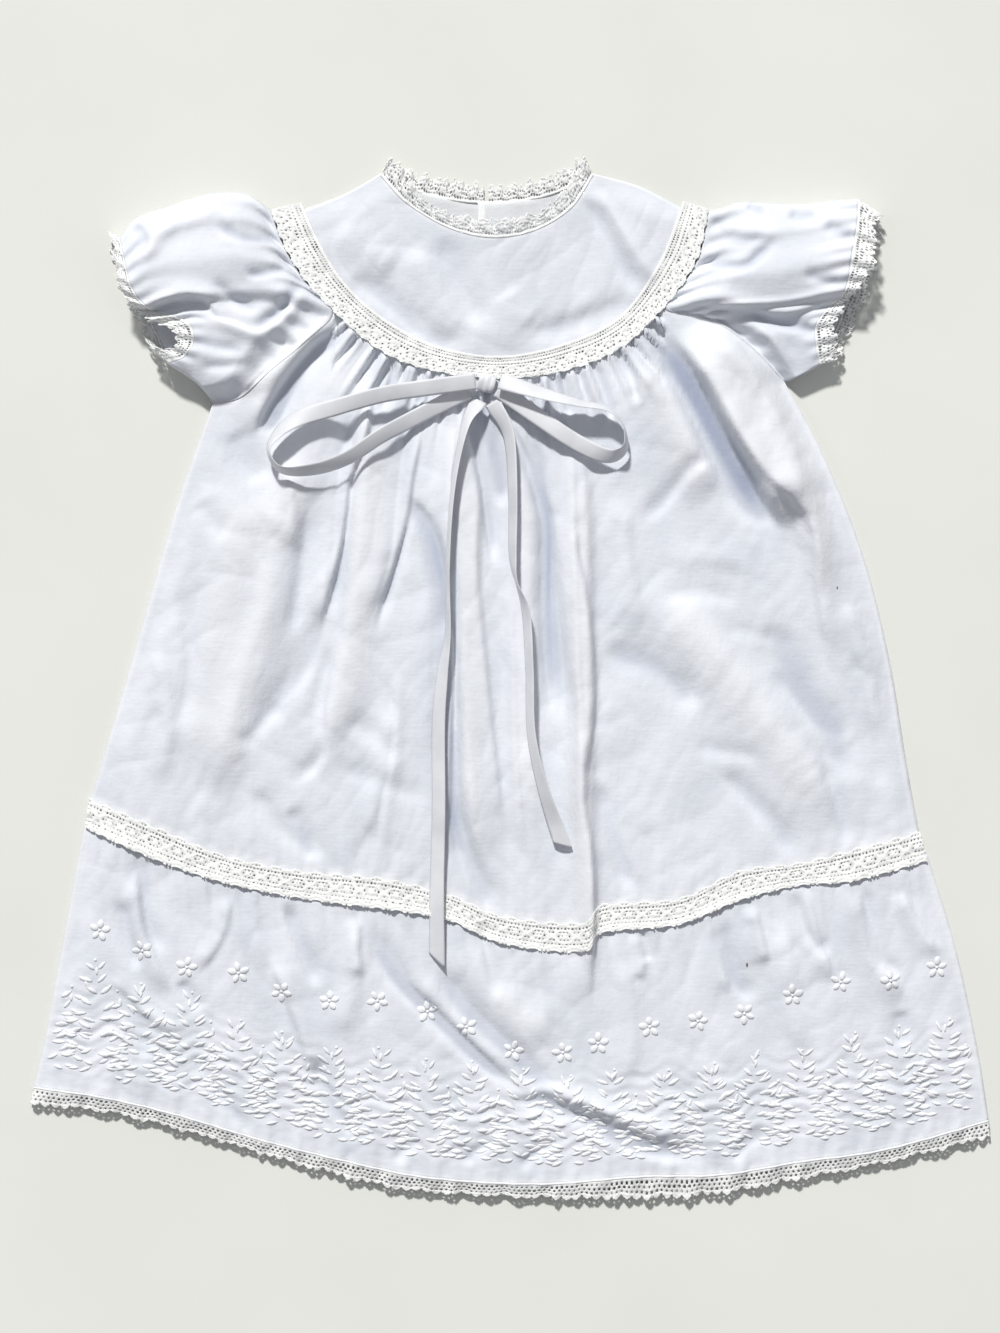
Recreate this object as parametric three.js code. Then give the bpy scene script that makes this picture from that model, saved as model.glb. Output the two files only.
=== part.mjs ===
// A baby's christening gown of white batiste, laid flat on its back with the front up.
// Millimetres. X runs to the viewer's right, Y towards the neck and Z up from the table.
// The origin is under the middle of the gown, on the table. "Left" is the side towards -X.
//
// Every panel is a wall: a grid of points between its seams, with a lower and an upper sheet.
// The back lies on the table, the front lies on the back, and one height function gives the
// front its loft and its folds, so that the panels stay a seam's gap apart all along.

import * as THREE from "three";

// ---------------------------------------------------------------- driving dimensions

const CLOTH_WALL = 1.2; // thickness of every cloth and lace wall
const RIBBON_WALL = 1.0;
const RIBBON_WIDTH = 9.5;
const LAYER_GAP = 0.3; // clear height between two layers
const SEAM_GAP = 0.3; // clear width at a seam
const FRONT_BASE = CLOTH_WALL + LAYER_GAP; // underside of the front where it lies flattest

const LOFT = 2.4; // how far the slack front stands off the back
const EDGE_FADE = 16; // width beside a side edge over which the front comes down

// Columns of the grids. Pieces that share a seam share its columns.
const CAP_COLUMNS = 5; // yoke edge under each sleeve cap
const YOKE_COLUMNS = 20; // yoke edge that carries the skirt
const ARMHOLE_COLUMNS = 5; // from the yoke down to the underarm
const BODY_COLUMNS = 2 * ARMHOLE_COLUMNS + YOKE_COLUMNS;
const YOKE_RING_COLUMNS = 2 * CAP_COLUMNS + YOKE_COLUMNS;
const SLEEVE_COLUMNS = CAP_COLUMNS + ARMHOLE_COLUMNS;

// ---------------------------------------------------------------- seams

// Each seam is a smooth line through a few places, columns x and y.
// Seams across the gown run left to right, side seams run down from the neck.
const SEAMS = {
  neckLaceFront: [[-65, 281.6], [-55, 271], [-47, 259], [-34, 252], [-18, 248], [2, 248], [20, 254], [34, 270], [41, 281]],
  neckFront: [[-69, 273], [-54, 257], [-32, 244], [-9, 239], [14, 243], [33, 255], [45, 273]],
  neckLaceBack: [[-65, 281.6], [-50, 273], [-28, 269], [-4, 266], [20, 271], [41, 281]],
  neckBack: [[-69, 273], [-46, 263], [-10, 258], [20, 262], [45, 273]],
  shoulderLeft: [[-69, 273], [-91, 263], [-112, 257]],
  shoulderRight: [[45, 273], [70, 268], [94, 258]],
  yokeInner: [[-112, 257], [-102, 235], [-89, 214], [-67, 194], [-37, 179], [-5, 174], [27, 180], [59, 195], [80, 223], [94, 258]],
  capLeft: [[-129, 253], [-122, 234], [-110, 214], [-95, 198]],
  yokeLower: [[-95, 198], [-80, 184], [-59, 171], [-26, 163], [8, 162], [38, 168], [62, 179], [84, 200]],
  capRight: [[84, 200], [95, 214], [103, 229], [108, 253]],
  armholeLeft: [[-95, 198], [-110, 181], [-128, 166], [-146, 151], [-160, 149]],
  armholeRight: [[84, 200], [108, 194], [130, 179], [149, 160]],
  sideLeft: [[-160, 149], [-179, 96], [-195, 42], [-211, -12], [-227, -64]],
  sideRight: [[149, 160], [169, 123], [191, 69], [205, 15], [214, -39], [222, -82]],
  insertionTop: [
    [-227, -64], [-189, -80], [-156, -94], [-113, -103], [-70, -107], [-32, -116], [-5, -127],
    [42, -129], [52, -122], [92, -118], [125, -103], [157, -99], [184, -92], [222, -82],
  ],
  insertionBottom: [
    [-229, -81], [-189, -99], [-156, -110], [-113, -119], [-59, -126], [-32, -131], [-5, -143],
    [42, -146], [52, -138], [92, -133], [125, -120], [157, -112], [184, -110], [226, -99],
  ],
  flounceLeft: [[-229, -81], [-241, -144], [-252, -201], [-257, -221]],
  flounceRight: [[226, -99], [241, -147], [253, -201], [259, -239]],
  hem: [
    [-257, -221], [-221, -226], [-178, -236], [-135, -249], [-91, -260], [-48, -269],
    [17, -273], [71, -269], [114, -268], [157, -261], [200, -255], [259, -239],
  ],
  hemLace: [
    [-259, -231], [-221, -234], [-167, -247], [-113, -263], [-59, -276], [-5, -280],
    [49, -281.6], [103, -280], [157, -271], [211, -260], [259.7, -248],
  ],
  sleeveTopLeft: [[-129, 253], [-141, 261], [-160, 262], [-183, 255], [-202, 248], [-210, 238]],
  sleeveUnderLeft: [[-160, 149], [-167, 158], [-183, 169]],
  cuffFrontLeft: [[-210, 238], [-206, 222], [-202, 209], [-195, 200], [-183, 196], [-172, 191], [-169, 182], [-174, 173], [-183, 169]],
  cuffBackLeft: [[-210, 238], [-206, 220], [-199, 203], [-190, 186], [-183, 169]],
  cuffLaceFrontLeft: [[-217, 242], [-212, 228], [-211, 213], [-204, 199], [-191, 190], [-181, 186], [-180, 181], [-186, 178], [-195, 179]],
  cuffLaceBackLeft: [[-217, 242], [-215, 224], [-208, 206], [-201, 192], [-195, 179]],
  sleeveTopRight: [[108, 253], [114, 254], [124, 257], [157, 256], [175, 258], [188, 259]],
  sleeveUnderRight: [[149, 160], [157, 163], [167, 169]],
  cuffFrontRight: [[188, 259], [187, 245], [184, 229], [180, 208], [172, 200], [165, 190], [165, 178], [167, 169]],
  cuffBackRight: [[188, 259], [188, 240], [185, 215], [177, 190], [167, 169]],
  cuffLaceFrontRight: [[202, 250], [198, 236], [199, 225], [192, 213], [184, 204], [179, 195], [177, 183], [178, 172]],
  cuffLaceBackRight: [[202, 250], [201, 232], [197, 212], [188, 192], [178, 172]],
};

// ---------------------------------------------------------------- folds of the front

// One row for each of the largest folds. A positive height is a ridge, a negative one a trough.
// The widths are those of its two flanks, and `path` is its line from the neck downwards, x and y.
const FOLDS = [
  { name: "left armhole ridge", height: 5, left: 7, right: 7, path: [[-95, 198], [-120, 172], [-150, 152]] },
  { name: "left armhole groove", height: -6, left: 6, right: 5, path: [[-86, 190], [-108, 174], [-120, 156], [-134, 128]] },
  { name: "left puff", height: 5, left: 14, right: 12, path: [[-80, 178], [-98, 150], [-110, 118], [-128, 60]] },
  { name: "left side crest", height: 4, left: 22, right: 20, path: [[-140, 120], [-150, 60], [-160, 0], [-172, -60]] },
  { name: "first pleat, trough", height: -4, left: 5, right: 4, path: [[-83, 153], [-89, 107], [-92, 64], [-97, 30]] },
  { name: "first pleat, ridge", height: 5, left: 7, right: 12, path: [[-70, 165], [-76, 120], [-80, 60], [-90, 0], [-108, -60]] },
  { name: "second pleat, trough", height: -4, left: 5, right: 4, path: [[-48, 158], [-56, 113], [-61, 70], [-74, 21]] },
  { name: "centre-left trough", height: -5, left: 8, right: 5, path: [[-56, 99], [-43, 80], [-35, 50], [-33, -20], [-29, -118]] },
  { name: "centre-left ridge", height: 5, left: 6, right: 10, path: [[-28, 158], [-25, 100], [-23, 20], [-20, -60], [-12, -120]] },
  { name: "centre trough", height: -4, left: 5, right: 5, path: [[-20, 155], [-8, 123], [-2, 90]] },
  { name: "centre ridge", height: 4, left: 8, right: 8, path: [[5, 155], [9, 90], [10, 0], [12, -110]] },
  { name: "centre-right trough", height: -4, left: 5, right: 5, path: [[4, 150], [19, 104], [23, 42], [30, -30]] },
  { name: "long pleat edge", height: 5, left: 9, right: 4, path: [[34, 150], [40, 100], [42, 20], [42, -70], [44, -125], [43, -180]] },
  { name: "right groove", height: -7, left: 6, right: 7, path: [[72, 187], [90, 179], [107, 157], [124, 130], [152, 82]] },
  { name: "right armhole ridge", height: 6, left: 8, right: 8, path: [[88, 196], [118, 178], [140, 150], [158, 100], [172, 40]] },
  { name: "right puff", height: 6, left: 14, right: 9, path: [[60, 172], [82, 152], [98, 126], [112, 96]] },
  { name: "right diagonal crest", height: 5, left: 16, right: 14, path: [[72, 60], [112, 10], [150, -40], [172, -84]] },
  { name: "right diagonal trough", height: -3, left: 8, right: 10, path: [[48, 14], [76, 6], [104, -16]] },
  { name: "right side trough", height: -3, left: 9, right: 9, path: [[140, 30], [166, -14], [184, -60]] },
  { name: "flounce trough", height: -4, left: 6, right: 6, path: [[-43, -152], [-24, -179], [6, -206], [33, -238]] },
  { name: "flounce crest", height: 5, left: 9, right: 12, path: [[-30, -142], [-6, -172], [24, -200]] },
  { name: "right flounce trough", height: -3, left: 7, right: 7, path: [[112, -132], [122, -160], [134, -176]] },
  { name: "hem crease", height: -3, left: 6, right: 6, path: [[38, -236], [76, -248], [112, -256]] },
  { name: "placket bulge", height: 1.6, left: 16, right: 16, path: [[-10, 262], [-9, 220], [-7, 168]] },
];
const FOLD_END = 0.22; // share of a fold's length over which each end dies away

// The puffs of the sleeves, from the top edge (across 0) to the underarm (across 1).
// `middle` and `cuff` are how far the front sheet stands up halfway along and at the cuff.
const SLEEVE_PUFFS = {
  Left: [
    { across: 0, middle: 4, cuff: 4 },
    { across: 0.12, middle: 13, cuff: 11 },
    { across: 0.27, middle: 18, cuff: 17 },
    { across: 0.4, middle: 14, cuff: 15 },
    { across: 0.5, middle: 5, cuff: 7 },
    { across: 0.62, middle: 11, cuff: 9 },
    { across: 0.8, middle: 12, cuff: 12 },
    { across: 1, middle: 7, cuff: 8 },
  ],
  Right: [
    { across: 0, middle: 4, cuff: 4 },
    { across: 0.15, middle: 12, cuff: 11 },
    { across: 0.35, middle: 17, cuff: 16 },
    { across: 0.5, middle: 14, cuff: 14 },
    { across: 0.6, middle: 4, cuff: 6 },
    { across: 0.75, middle: 5, cuff: 9 },
    { across: 0.88, middle: 6, cuff: 9 },
    { across: 1, middle: 6, cuff: 7 },
  ],
};
const SLEEVE_ROWS = 8;
const PUFF_START = 0.35; // share of the sleeve's length over which the puff rises
const UNDERARM_LIFT = 4; // how far the sleeve's lower fold stands off the table
const UNDERARM_SHARE = 0.16;
const SLEEVE_SIDE = 0.016; // the side wall's share of the sleeve's width
const CUFF_GAP = 1.1; // along the lace, which leaves the cuff at a slant in places
const SLEEVE_SLOPE = 0.4; // extra wall height that keeps a steep puff's wall thick

// ---------------------------------------------------------------- the bow

const KNOT = { x: -12, y: 159, length: 15, width: 11, height: 6 };

// Ribbon stretches: x and y of the middle line, `up` above the cloth under it, `roll` in degrees,
// 0 for a ribbon lying flat and 90 for one standing on its edge.
const BOW = {
  bow_loop_left: [
    { x: -20, y: 162, up: 4.5, roll: 8 },
    { x: -40, y: 158, up: 6, roll: 12 },
    { x: -66, y: 154, up: 7, roll: 18 },
    { x: -92, y: 146, up: 7, roll: 25 },
    { x: -113, y: 139, up: 6, roll: 40 },
    { x: -126, y: 129, up: 4, roll: 65 },
    { x: -130, y: 118, up: 3, roll: 75 },
    { x: -124, y: 110, up: 3, roll: 70 },
    { x: -108, y: 109, up: 3, roll: 50 },
    { x: -88, y: 117, up: 2.5, roll: 35 },
    { x: -68, y: 131, up: 1.5, roll: 25 },
    { x: -46, y: 144, up: 1, roll: 12 },
    { x: -24, y: 154.5, up: 0, roll: 6 },
  ],
  bow_loop_right: [
    { x: -4.6, y: 157, up: 1, roll: 6 },
    { x: 14, y: 142, up: 3, roll: 12 },
    { x: 30, y: 131, up: 4, roll: 20 },
    { x: 45, y: 122, up: 4, roll: 40 },
    { x: 57, y: 120, up: 3, roll: 70 },
    { x: 64, y: 127, up: 3, roll: 80 },
    { x: 63, y: 138, up: 3, roll: 80 },
    { x: 53, y: 147, up: 3.5, roll: 70 },
    { x: 38, y: 149, up: 5, roll: 60 },
    { x: 22, y: 153, up: 6, roll: 40 },
    { x: -3.5, y: 161.5, up: 5, roll: 8 },
  ],
  bow_tail_left: [
    { x: -16, y: 149, up: 0, roll: 10 },
    { x: -24, y: 135, up: 0, roll: 35 },
    { x: -30, y: 104, up: 0, roll: 50 },
    { x: -33, y: 55, up: 0, roll: 50 },
    { x: -34, y: 15, up: 0, roll: 30 },
    { x: -38, y: -20, up: 0, roll: 0 },
    { x: -39, y: -70, up: 0, roll: 0 },
    { x: -39, y: -115, up: 0, roll: 0 },
    { x: -39, y: -152, up: 0, roll: 0 },
  ],
  bow_tail_right: [
    { x: -9.6, y: 147, up: 0, roll: 6 },
    { x: 0, y: 127, up: 0, roll: 20 },
    { x: 2, y: 95, up: 0, roll: 20 },
    { x: 3, y: 62, up: 0, roll: 60 },
    { x: 8, y: 38, up: 0, roll: 45 },
    { x: 12, y: 10, up: 0, roll: 10 },
    { x: 12, y: -30, up: 0, roll: 20 },
    { x: 19, y: -62, up: 0, roll: 40 },
    { x: 29, y: -90, up: 0, roll: 10 },
  ],
};
const RIBBON_STEP = 8;

// ---------------------------------------------------------------- materials

const FINISHES = {
  batiste: { color: 0xeef1f8, roughness: 0.9, metalness: 0 },
  lace: { color: 0xf6f3e8, roughness: 0.85, metalness: 0 },
  ribbon: { color: 0xf4f5f8, roughness: 0.5, metalness: 0 },
};

// ---------------------------------------------------------------- seam and grid helpers

const smooth = THREE.MathUtils.smoothstep;
const lerp = THREE.MathUtils.lerp;

/** The seam's points at equal spacing, `columns` + 1 of them. */
function seam(name, columns) {
  const places = SEAMS[name].map(([x, y]) => new THREE.Vector3(x, y, 0));
  return new THREE.CatmullRomCurve3(places, false, "centripetal").getSpacedPoints(columns);
}

/** Several lines end to end, with the shared end points once. */
function joined(...lines) {
  return lines.reduce((whole, line) => whole.concat(line.slice(1)));
}

/** The line moved sideways, to its own left where `amount` is positive. */
function shifted(line, amount) {
  return line.map((point, i) => {
    const before = line[Math.max(i - 1, 0)];
    const after = line[Math.min(i + 1, line.length - 1)];
    const a = new THREE.Vector2(point.x - before.x, point.y - before.y).normalize();
    const b = new THREE.Vector2(after.x - point.x, after.y - point.y).normalize();
    const along = a.add(b).normalize();
    return new THREE.Vector3(point.x - along.y * amount, point.y + along.x * amount, 0);
  });
}

/** A Coons patch: a grid of points between four lines. Rows run from `top` to `bottom`. */
function patch(top, bottom, left, right) {
  const columns = top.length - 1;
  const rows = left.length - 1;
  const stretched = (line, first, last) =>
    line.map((point, row) => {
      const v = row / rows;
      return point.clone()
        .addScaledVector(first.clone().sub(line[0]), 1 - v)
        .addScaledVector(last.clone().sub(line[rows]), v);
    });
  const leftLine = stretched(left, top[0], bottom[0]);
  const rightLine = stretched(right, top[columns], bottom[columns]);
  return leftLine.map((leftPoint, row) => {
    const v = row / rows;
    return top.map((topPoint, column) => {
      const u = column / columns;
      return topPoint.clone().multiplyScalar(1 - v)
        .addScaledVector(bottom[column], v)
        .addScaledVector(leftPoint, 1 - u)
        .addScaledVector(rightLine[row], u)
        .addScaledVector(top[0], -(1 - u) * (1 - v))
        .addScaledVector(top[columns], -u * (1 - v))
        .addScaledVector(bottom[0], -(1 - u) * v)
        .addScaledVector(bottom[columns], -u * v);
    });
  });
}

/** A band between two lines with the same number of points. */
function band(top, bottom, rows = 1) {
  return Array.from({ length: rows + 1 }, (_, row) =>
    top.map((point, i) => point.clone().lerp(bottom[i], row / rows)));
}

/** A piece's lines, each moved half a seam's gap into the piece. */
function below(line) {
  return shifted(line, -SEAM_GAP / 2);
}
function above(line) {
  return shifted(line, SEAM_GAP / 2);
}

// ---------------------------------------------------------------- the height of the front

/** Nearest place on a broken line: distance, side (+1 to the viewer's left) and share of length. */
function nearest(line, x, y) {
  let best = { distance: Infinity, side: 1, share: 0 };
  const total = line.length - 1;
  for (let i = 0; i < total; i += 1) {
    const a = line[i];
    const b = line[i + 1];
    const dx = b.x - a.x;
    const dy = b.y - a.y;
    const t = THREE.MathUtils.clamp(((x - a.x) * dx + (y - a.y) * dy) / (dx * dx + dy * dy), 0, 1);
    const offX = x - a.x - dx * t;
    const offY = y - a.y - dy * t;
    const distance = Math.hypot(offX, offY);
    if (distance < best.distance) {
      best = { distance, side: Math.sign(dy * offX - dx * offY) || 1, share: (i + t) / total };
    }
  }
  return best;
}

const FOLD_LINES = FOLDS.map((fold) => {
  const places = fold.path.map(([x, y]) => new THREE.Vector3(x, y, 0));
  const line = new THREE.CatmullRomCurve3(places, false, "centripetal").getSpacedPoints(12);
  return { ...fold, line };
});

const EDGES = ["sideLeft", "sideRight", "flounceLeft", "flounceRight", "shoulderLeft", "shoulderRight"]
  .map((name) => seam(name, 12));

/** How far the front's underside stands above its flattest level at a place. */
function rise(x, y) {
  let height = LOFT;
  for (const fold of FOLD_LINES) {
    const at = nearest(fold.line, x, y);
    const width = at.side > 0 ? fold.left : fold.right;
    const ends = smooth(at.share, 0, FOLD_END) * (1 - smooth(at.share, 1 - FOLD_END, 1));
    height += fold.height * Math.exp(-((at.distance / width) ** 2)) * ends;
  }
  const edge = Math.min(...EDGES.map((line) => nearest(line, x, y).distance));
  return Math.max(height, 0) * smooth(edge, 0, EDGE_FADE);
}

/** Lower and upper height of the front wall at a place. The wall keeps its thickness on a slope. */
function frontHeights(x, y) {
  const step = 2;
  const base = rise(x, y);
  const slopeX = (rise(x + step, y) - rise(x - step, y)) / (2 * step);
  const slopeY = (rise(x, y + step) - rise(x, y - step)) / (2 * step);
  const lower = FRONT_BASE + base;
  return { lower, upper: lower + CLOTH_WALL * Math.hypot(1, slopeX, slopeY) };
}

// ---------------------------------------------------------------- closed solids

const gown = new THREE.Group();

/** Adds a named mesh from corner points and triangles, turned to face outwards. */
function addMesh(name, finish, points, triangles) {
  const volume = triangles.reduce((sum, [a, b, c]) =>
    sum + points[a].clone().cross(points[b]).dot(points[c]), 0);
  const faces = volume < 0 ? triangles.map(([a, b, c]) => [a, c, b]) : triangles;
  const geometry = new THREE.BufferGeometry().setFromPoints(points);
  geometry.setIndex(faces.flat());
  geometry.computeVertexNormals();
  const mesh = new THREE.Mesh(geometry, new THREE.MeshStandardMaterial(FINISHES[finish]));
  mesh.name = name;
  gown.add(mesh);
  return mesh;
}

const quad = (a, b, c, d) => [[a, b, c], [a, c, d]];

/** A wall over a grid of places. `heights(point, row, column)` gives its lower and upper height. */
function addWall(name, finish, grid, heights) {
  const rows = grid.length - 1;
  const columns = grid[0].length - 1;
  const lower = [];
  const upper = [];
  grid.forEach((line, row) => line.forEach((point, column) => {
    const z = heights(point, row, column);
    lower.push(new THREE.Vector3(point.x, point.y, z.lower));
    upper.push(new THREE.Vector3(point.x, point.y, z.upper));
  }));
  const count = lower.length;
  const at = (row, column) => row * (columns + 1) + column;
  const triangles = [];
  for (let row = 0; row < rows; row += 1) {
    for (let column = 0; column < columns; column += 1) {
      const corners = [at(row, column), at(row + 1, column), at(row + 1, column + 1), at(row, column + 1)];
      triangles.push(...quad(...corners.map((i) => i + count)));
      triangles.push(...quad(...corners.reverse()));
    }
  }
  const rim = [];
  for (let column = 0; column < columns; column += 1) rim.push(at(0, column));
  for (let row = 0; row < rows; row += 1) rim.push(at(row, columns));
  for (let column = columns; column > 0; column -= 1) rim.push(at(rows, column));
  for (let row = rows; row > 0; row -= 1) rim.push(at(row, 0));
  rim.forEach((a, i) => {
    const b = rim[(i + 1) % rim.length];
    triangles.push(...quad(b + count, b, a, a + count));
  });
  return addMesh(name, finish, [...lower, ...upper], triangles);
}

/** The strip of quads between two closed rings of the same length, given by their first numbers. */
function strip(first, second, count) {
  const triangles = [];
  for (let i = 0; i < count; i += 1) {
    const next = (i + 1) % count;
    triangles.push(...quad(first + i, first + next, second + next, second + i));
  }
  return triangles;
}

/** A tube's wall, open at both ends, from matching outer and inner rings. */
function addTube(name, finish, outer, inner) {
  const count = outer[0].length;
  const points = [...outer.flat(), ...inner.flat()];
  const inside = outer.length * count;
  const triangles = [];
  for (let row = 0; row + 1 < outer.length; row += 1) {
    triangles.push(...strip(row * count, (row + 1) * count, count));
    triangles.push(...strip(inside + (row + 1) * count, inside + row * count, count));
  }
  const last = (outer.length - 1) * count;
  triangles.push(...strip(inside, 0, count));
  triangles.push(...strip(last, inside + last, count));
  return addMesh(name, finish, points, triangles);
}

/** A solid through a row of rings, closed at both ends. */
function addSweep(name, finish, rings) {
  const count = rings[0].length;
  const triangles = [];
  for (let row = 0; row + 1 < rings.length; row += 1) {
    triangles.push(...strip(row * count, (row + 1) * count, count));
  }
  const last = (rings.length - 1) * count;
  for (let i = 1; i + 1 < count; i += 1) {
    triangles.push([0, i + 1, i], [last, last + i, last + i + 1]);
  }
  return addMesh(name, finish, rings.flat(), triangles);
}

// ---------------------------------------------------------------- body panels

const flat = () => ({ lower: 0, upper: CLOTH_WALL });
const front = (point) => frontHeights(point.x, point.y);

const neckFront = seam("neckFront", YOKE_RING_COLUMNS);
const neckBack = seam("neckBack", YOKE_RING_COLUMNS);
const yokeInner = seam("yokeInner", YOKE_RING_COLUMNS);
const capLeft = seam("capLeft", CAP_COLUMNS);
const capRight = seam("capRight", CAP_COLUMNS);
const yokeLower = seam("yokeLower", YOKE_COLUMNS);
const yokeOuter = joined(capLeft, yokeLower, capRight);
const armholeLeft = seam("armholeLeft", ARMHOLE_COLUMNS);
const armholeRight = seam("armholeRight", ARMHOLE_COLUMNS);
const bodyTop = joined([...armholeLeft].reverse(), yokeLower, armholeRight);
const insertionTop = seam("insertionTop", BODY_COLUMNS);
const insertionBottom = seam("insertionBottom", BODY_COLUMNS);
const hem = seam("hem", BODY_COLUMNS);
const hemLace = seam("hemLace", BODY_COLUMNS);

const YOKE_ROWS = 4;
const SKIRT_ROWS = 14;
const FLOUNCE_ROWS = 6;
const BACK_ROWS = 2;

const yokeGrid = (neck, rows) => patch(
  below(neck), above(yokeInner), seam("shoulderLeft", rows), seam("shoulderRight", rows));
const skirtGrid = (rows) => patch(
  below(bodyTop), above(insertionTop), seam("sideLeft", rows), seam("sideRight", rows));
const flounceGrid = (rows) => patch(
  below(insertionBottom), above(hem), seam("flounceLeft", rows), seam("flounceRight", rows));

addWall("yoke_front", "batiste", yokeGrid(neckFront, YOKE_ROWS), front);
addWall("skirt_front", "batiste", skirtGrid(SKIRT_ROWS), front);
addWall("skirt_back", "batiste", skirtGrid(BACK_ROWS), flat);
addWall("flounce_front", "batiste", flounceGrid(FLOUNCE_ROWS), front);
addWall("flounce_back", "batiste", flounceGrid(1), flat);

// Laces: neck edge, yoke band, insertion above the flounce, and hem edge, on the front and the back.
const neckLaceFront = seam("neckLaceFront", YOKE_RING_COLUMNS);
const neckLaceBack = seam("neckLaceBack", YOKE_RING_COLUMNS);
addWall("lace_neck_front", "lace", band(neckLaceFront, above(neckFront)), front);
const ringLaces = [
  { place: "yoke", lines: [below(yokeInner), above(yokeOuter)] },
  { place: "insertion", lines: [below(insertionTop), above(insertionBottom)] },
  { place: "hem", lines: [below(hem), hemLace] },
];
for (const { place, lines } of ringLaces) {
  addWall(`lace_${place}_front`, "lace", band(...lines), front);
  addWall(`lace_${place}_back`, "lace", band(...lines), flat);
}

// The back opening: the back yoke and the neck lace are cut down the centre back. The right
// half's edge lies over the left half's, inside the gown.
const OPENING_COLUMN = YOKE_RING_COLUMNS / 2;
const PLACKET_LAP = 9; // how far the right half laps over the left one
const PLACKET_RISE = CLOTH_WALL + LAYER_GAP;

const backYoke = yokeGrid(neckBack, BACK_ROWS);
const leftHalf = backYoke.map((line) => line.slice(0, OPENING_COLUMN + 1));
const rightHalf = backYoke.map((line) => {
  const edge = line[OPENING_COLUMN];
  const lapped = edge.clone().setX(edge.x - PLACKET_LAP);
  const raised = edge.clone().setX(edge.x + SEAM_GAP);
  return [lapped, raised, ...line.slice(OPENING_COLUMN + 1)];
});
const lapHeights = (point, row, column) => {
  const z = column < 2 ? PLACKET_RISE : 0;
  return { lower: z, upper: z + CLOTH_WALL };
};
addWall("yoke_back_left", "batiste", leftHalf, flat);
addWall("yoke_back_right", "batiste", rightHalf, lapHeights);

const backNeckBand = band(neckLaceBack, above(neckBack));
const halves = [
  { side: "left", columns: [0, OPENING_COLUMN + 1], shift: -SEAM_GAP / 2, edge: OPENING_COLUMN },
  { side: "right", columns: [OPENING_COLUMN], shift: SEAM_GAP / 2, edge: 0 },
];
for (const { side, columns, shift, edge } of halves) {
  const grid = backNeckBand.map((line) => line.slice(...columns).map((point, i) =>
    (i === edge ? point.clone().setX(point.x + shift) : point)));
  addWall(`lace_neck_back_${side}`, "lace", grid, flat);
}

// ---------------------------------------------------------------- sleeves and cuff laces

/** A puff table read at a share across, with a smooth line through its rows. */
function puff(rows, across) {
  const next = Math.max(1, rows.findIndex((row) => row.across >= across));
  const a = rows[next - 1];
  const b = rows[next];
  const t = smooth((across - a.across) / (b.across - a.across), 0, 1);
  return { middle: lerp(a.middle, b.middle, t), cuff: lerp(a.cuff, b.cuff, t) };
}

/** Height of a sleeve's front sheet over the body's front, along 0 at the armhole to 1 at the cuff. */
function sleeveRise(rows, along, across) {
  const { middle, cuff } = puff(rows, across);
  return smooth(along, 0, PUFF_START) * lerp(middle, cuff, smooth(along, 0.5, 1));
}

/** One ring of a sleeve: over the front sheet from the top edge to the underarm, and back beneath. */
function sleeveRing(frontLine, backLine, rows, along, wall) {
  const count = frontLine.length - 1;
  const depth = wall * CLOTH_WALL;
  const inset = wall * SLEEVE_SIDE;
  const shareOf = (i) => inset + (i / count) * (1 - 2 * inset);
  const on = (line, share) => {
    const place = share * count;
    const i = Math.min(Math.floor(place), count - 1);
    return line[i].clone().lerp(line[i + 1], place - i);
  };
  const ring = [];
  for (let i = 0; i <= count; i += 1) {
    const share = shareOf(i);
    const point = on(frontLine, share);
    const puffed = sleeveRise(rows, along, share);
    const steep = 1 + SLEEVE_SLOPE * smooth(along, 0, PUFF_START);
    point.z = frontHeights(point.x, point.y).upper + puffed - depth * steep;
    ring.push(point);
  }
  for (let i = count; i >= 0; i -= 1) {
    const share = shareOf(i);
    const point = on(backLine, share);
    const lift = UNDERARM_LIFT * smooth(share, 1 - UNDERARM_SHARE, 1) * smooth(along, 0, PUFF_START);
    point.z = lift + depth;
    ring.push(point);
  }
  return ring;
}

const sleeves = [
  { side: "Left", armhole: joined(capLeft, armholeLeft), outwards: -1 },
  { side: "Right", armhole: joined([...capRight].reverse(), armholeRight), outwards: 1 },
];
for (const { side, armhole, outwards } of sleeves) {
  const rows = SLEEVE_PUFFS[side];
  const start = shifted(armhole, (outwards * SEAM_GAP) / 2);
  const top = seam(`sleeveTop${side}`, SLEEVE_ROWS);
  const under = seam(`sleeveUnder${side}`, SLEEVE_ROWS);
  const sheets = ["Front", "Back"].map((sheet) => ({
    cloth: patch(start, seam(`cuff${sheet}${side}`, SLEEVE_COLUMNS), top, under),
    cuff: seam(`cuff${sheet}${side}`, SLEEVE_COLUMNS),
    edge: seam(`cuffLace${sheet}${side}`, SLEEVE_COLUMNS),
  }));
  const [overside, underside] = sheets;
  const ringsOf = (wall) => overside.cloth.map((line, row) =>
    sleeveRing(line, underside.cloth[row], rows, row / SLEEVE_ROWS, wall));
  addTube(`sleeve_${side.toLowerCase()}`, "batiste", ringsOf(0), ringsOf(1));

  const laceLines = ({ cuff, edge }) => [0, 0.5, 1].map((share) => cuff.map((point, i) => {
    const gap = CUFF_GAP / point.distanceTo(edge[i]);
    return point.clone().lerp(edge[i], gap + share * (1 - gap));
  }));
  const laceFront = laceLines(overside);
  const laceBack = laceLines(underside);
  const laceRings = (wall) => laceFront.map((line, i) => sleeveRing(line, laceBack[i], rows, 1, wall));
  addTube(`lace_cuff_${side.toLowerCase()}`, "lace", laceRings(0), laceRings(1));
}

// ---------------------------------------------------------------- ribbon bow

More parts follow.
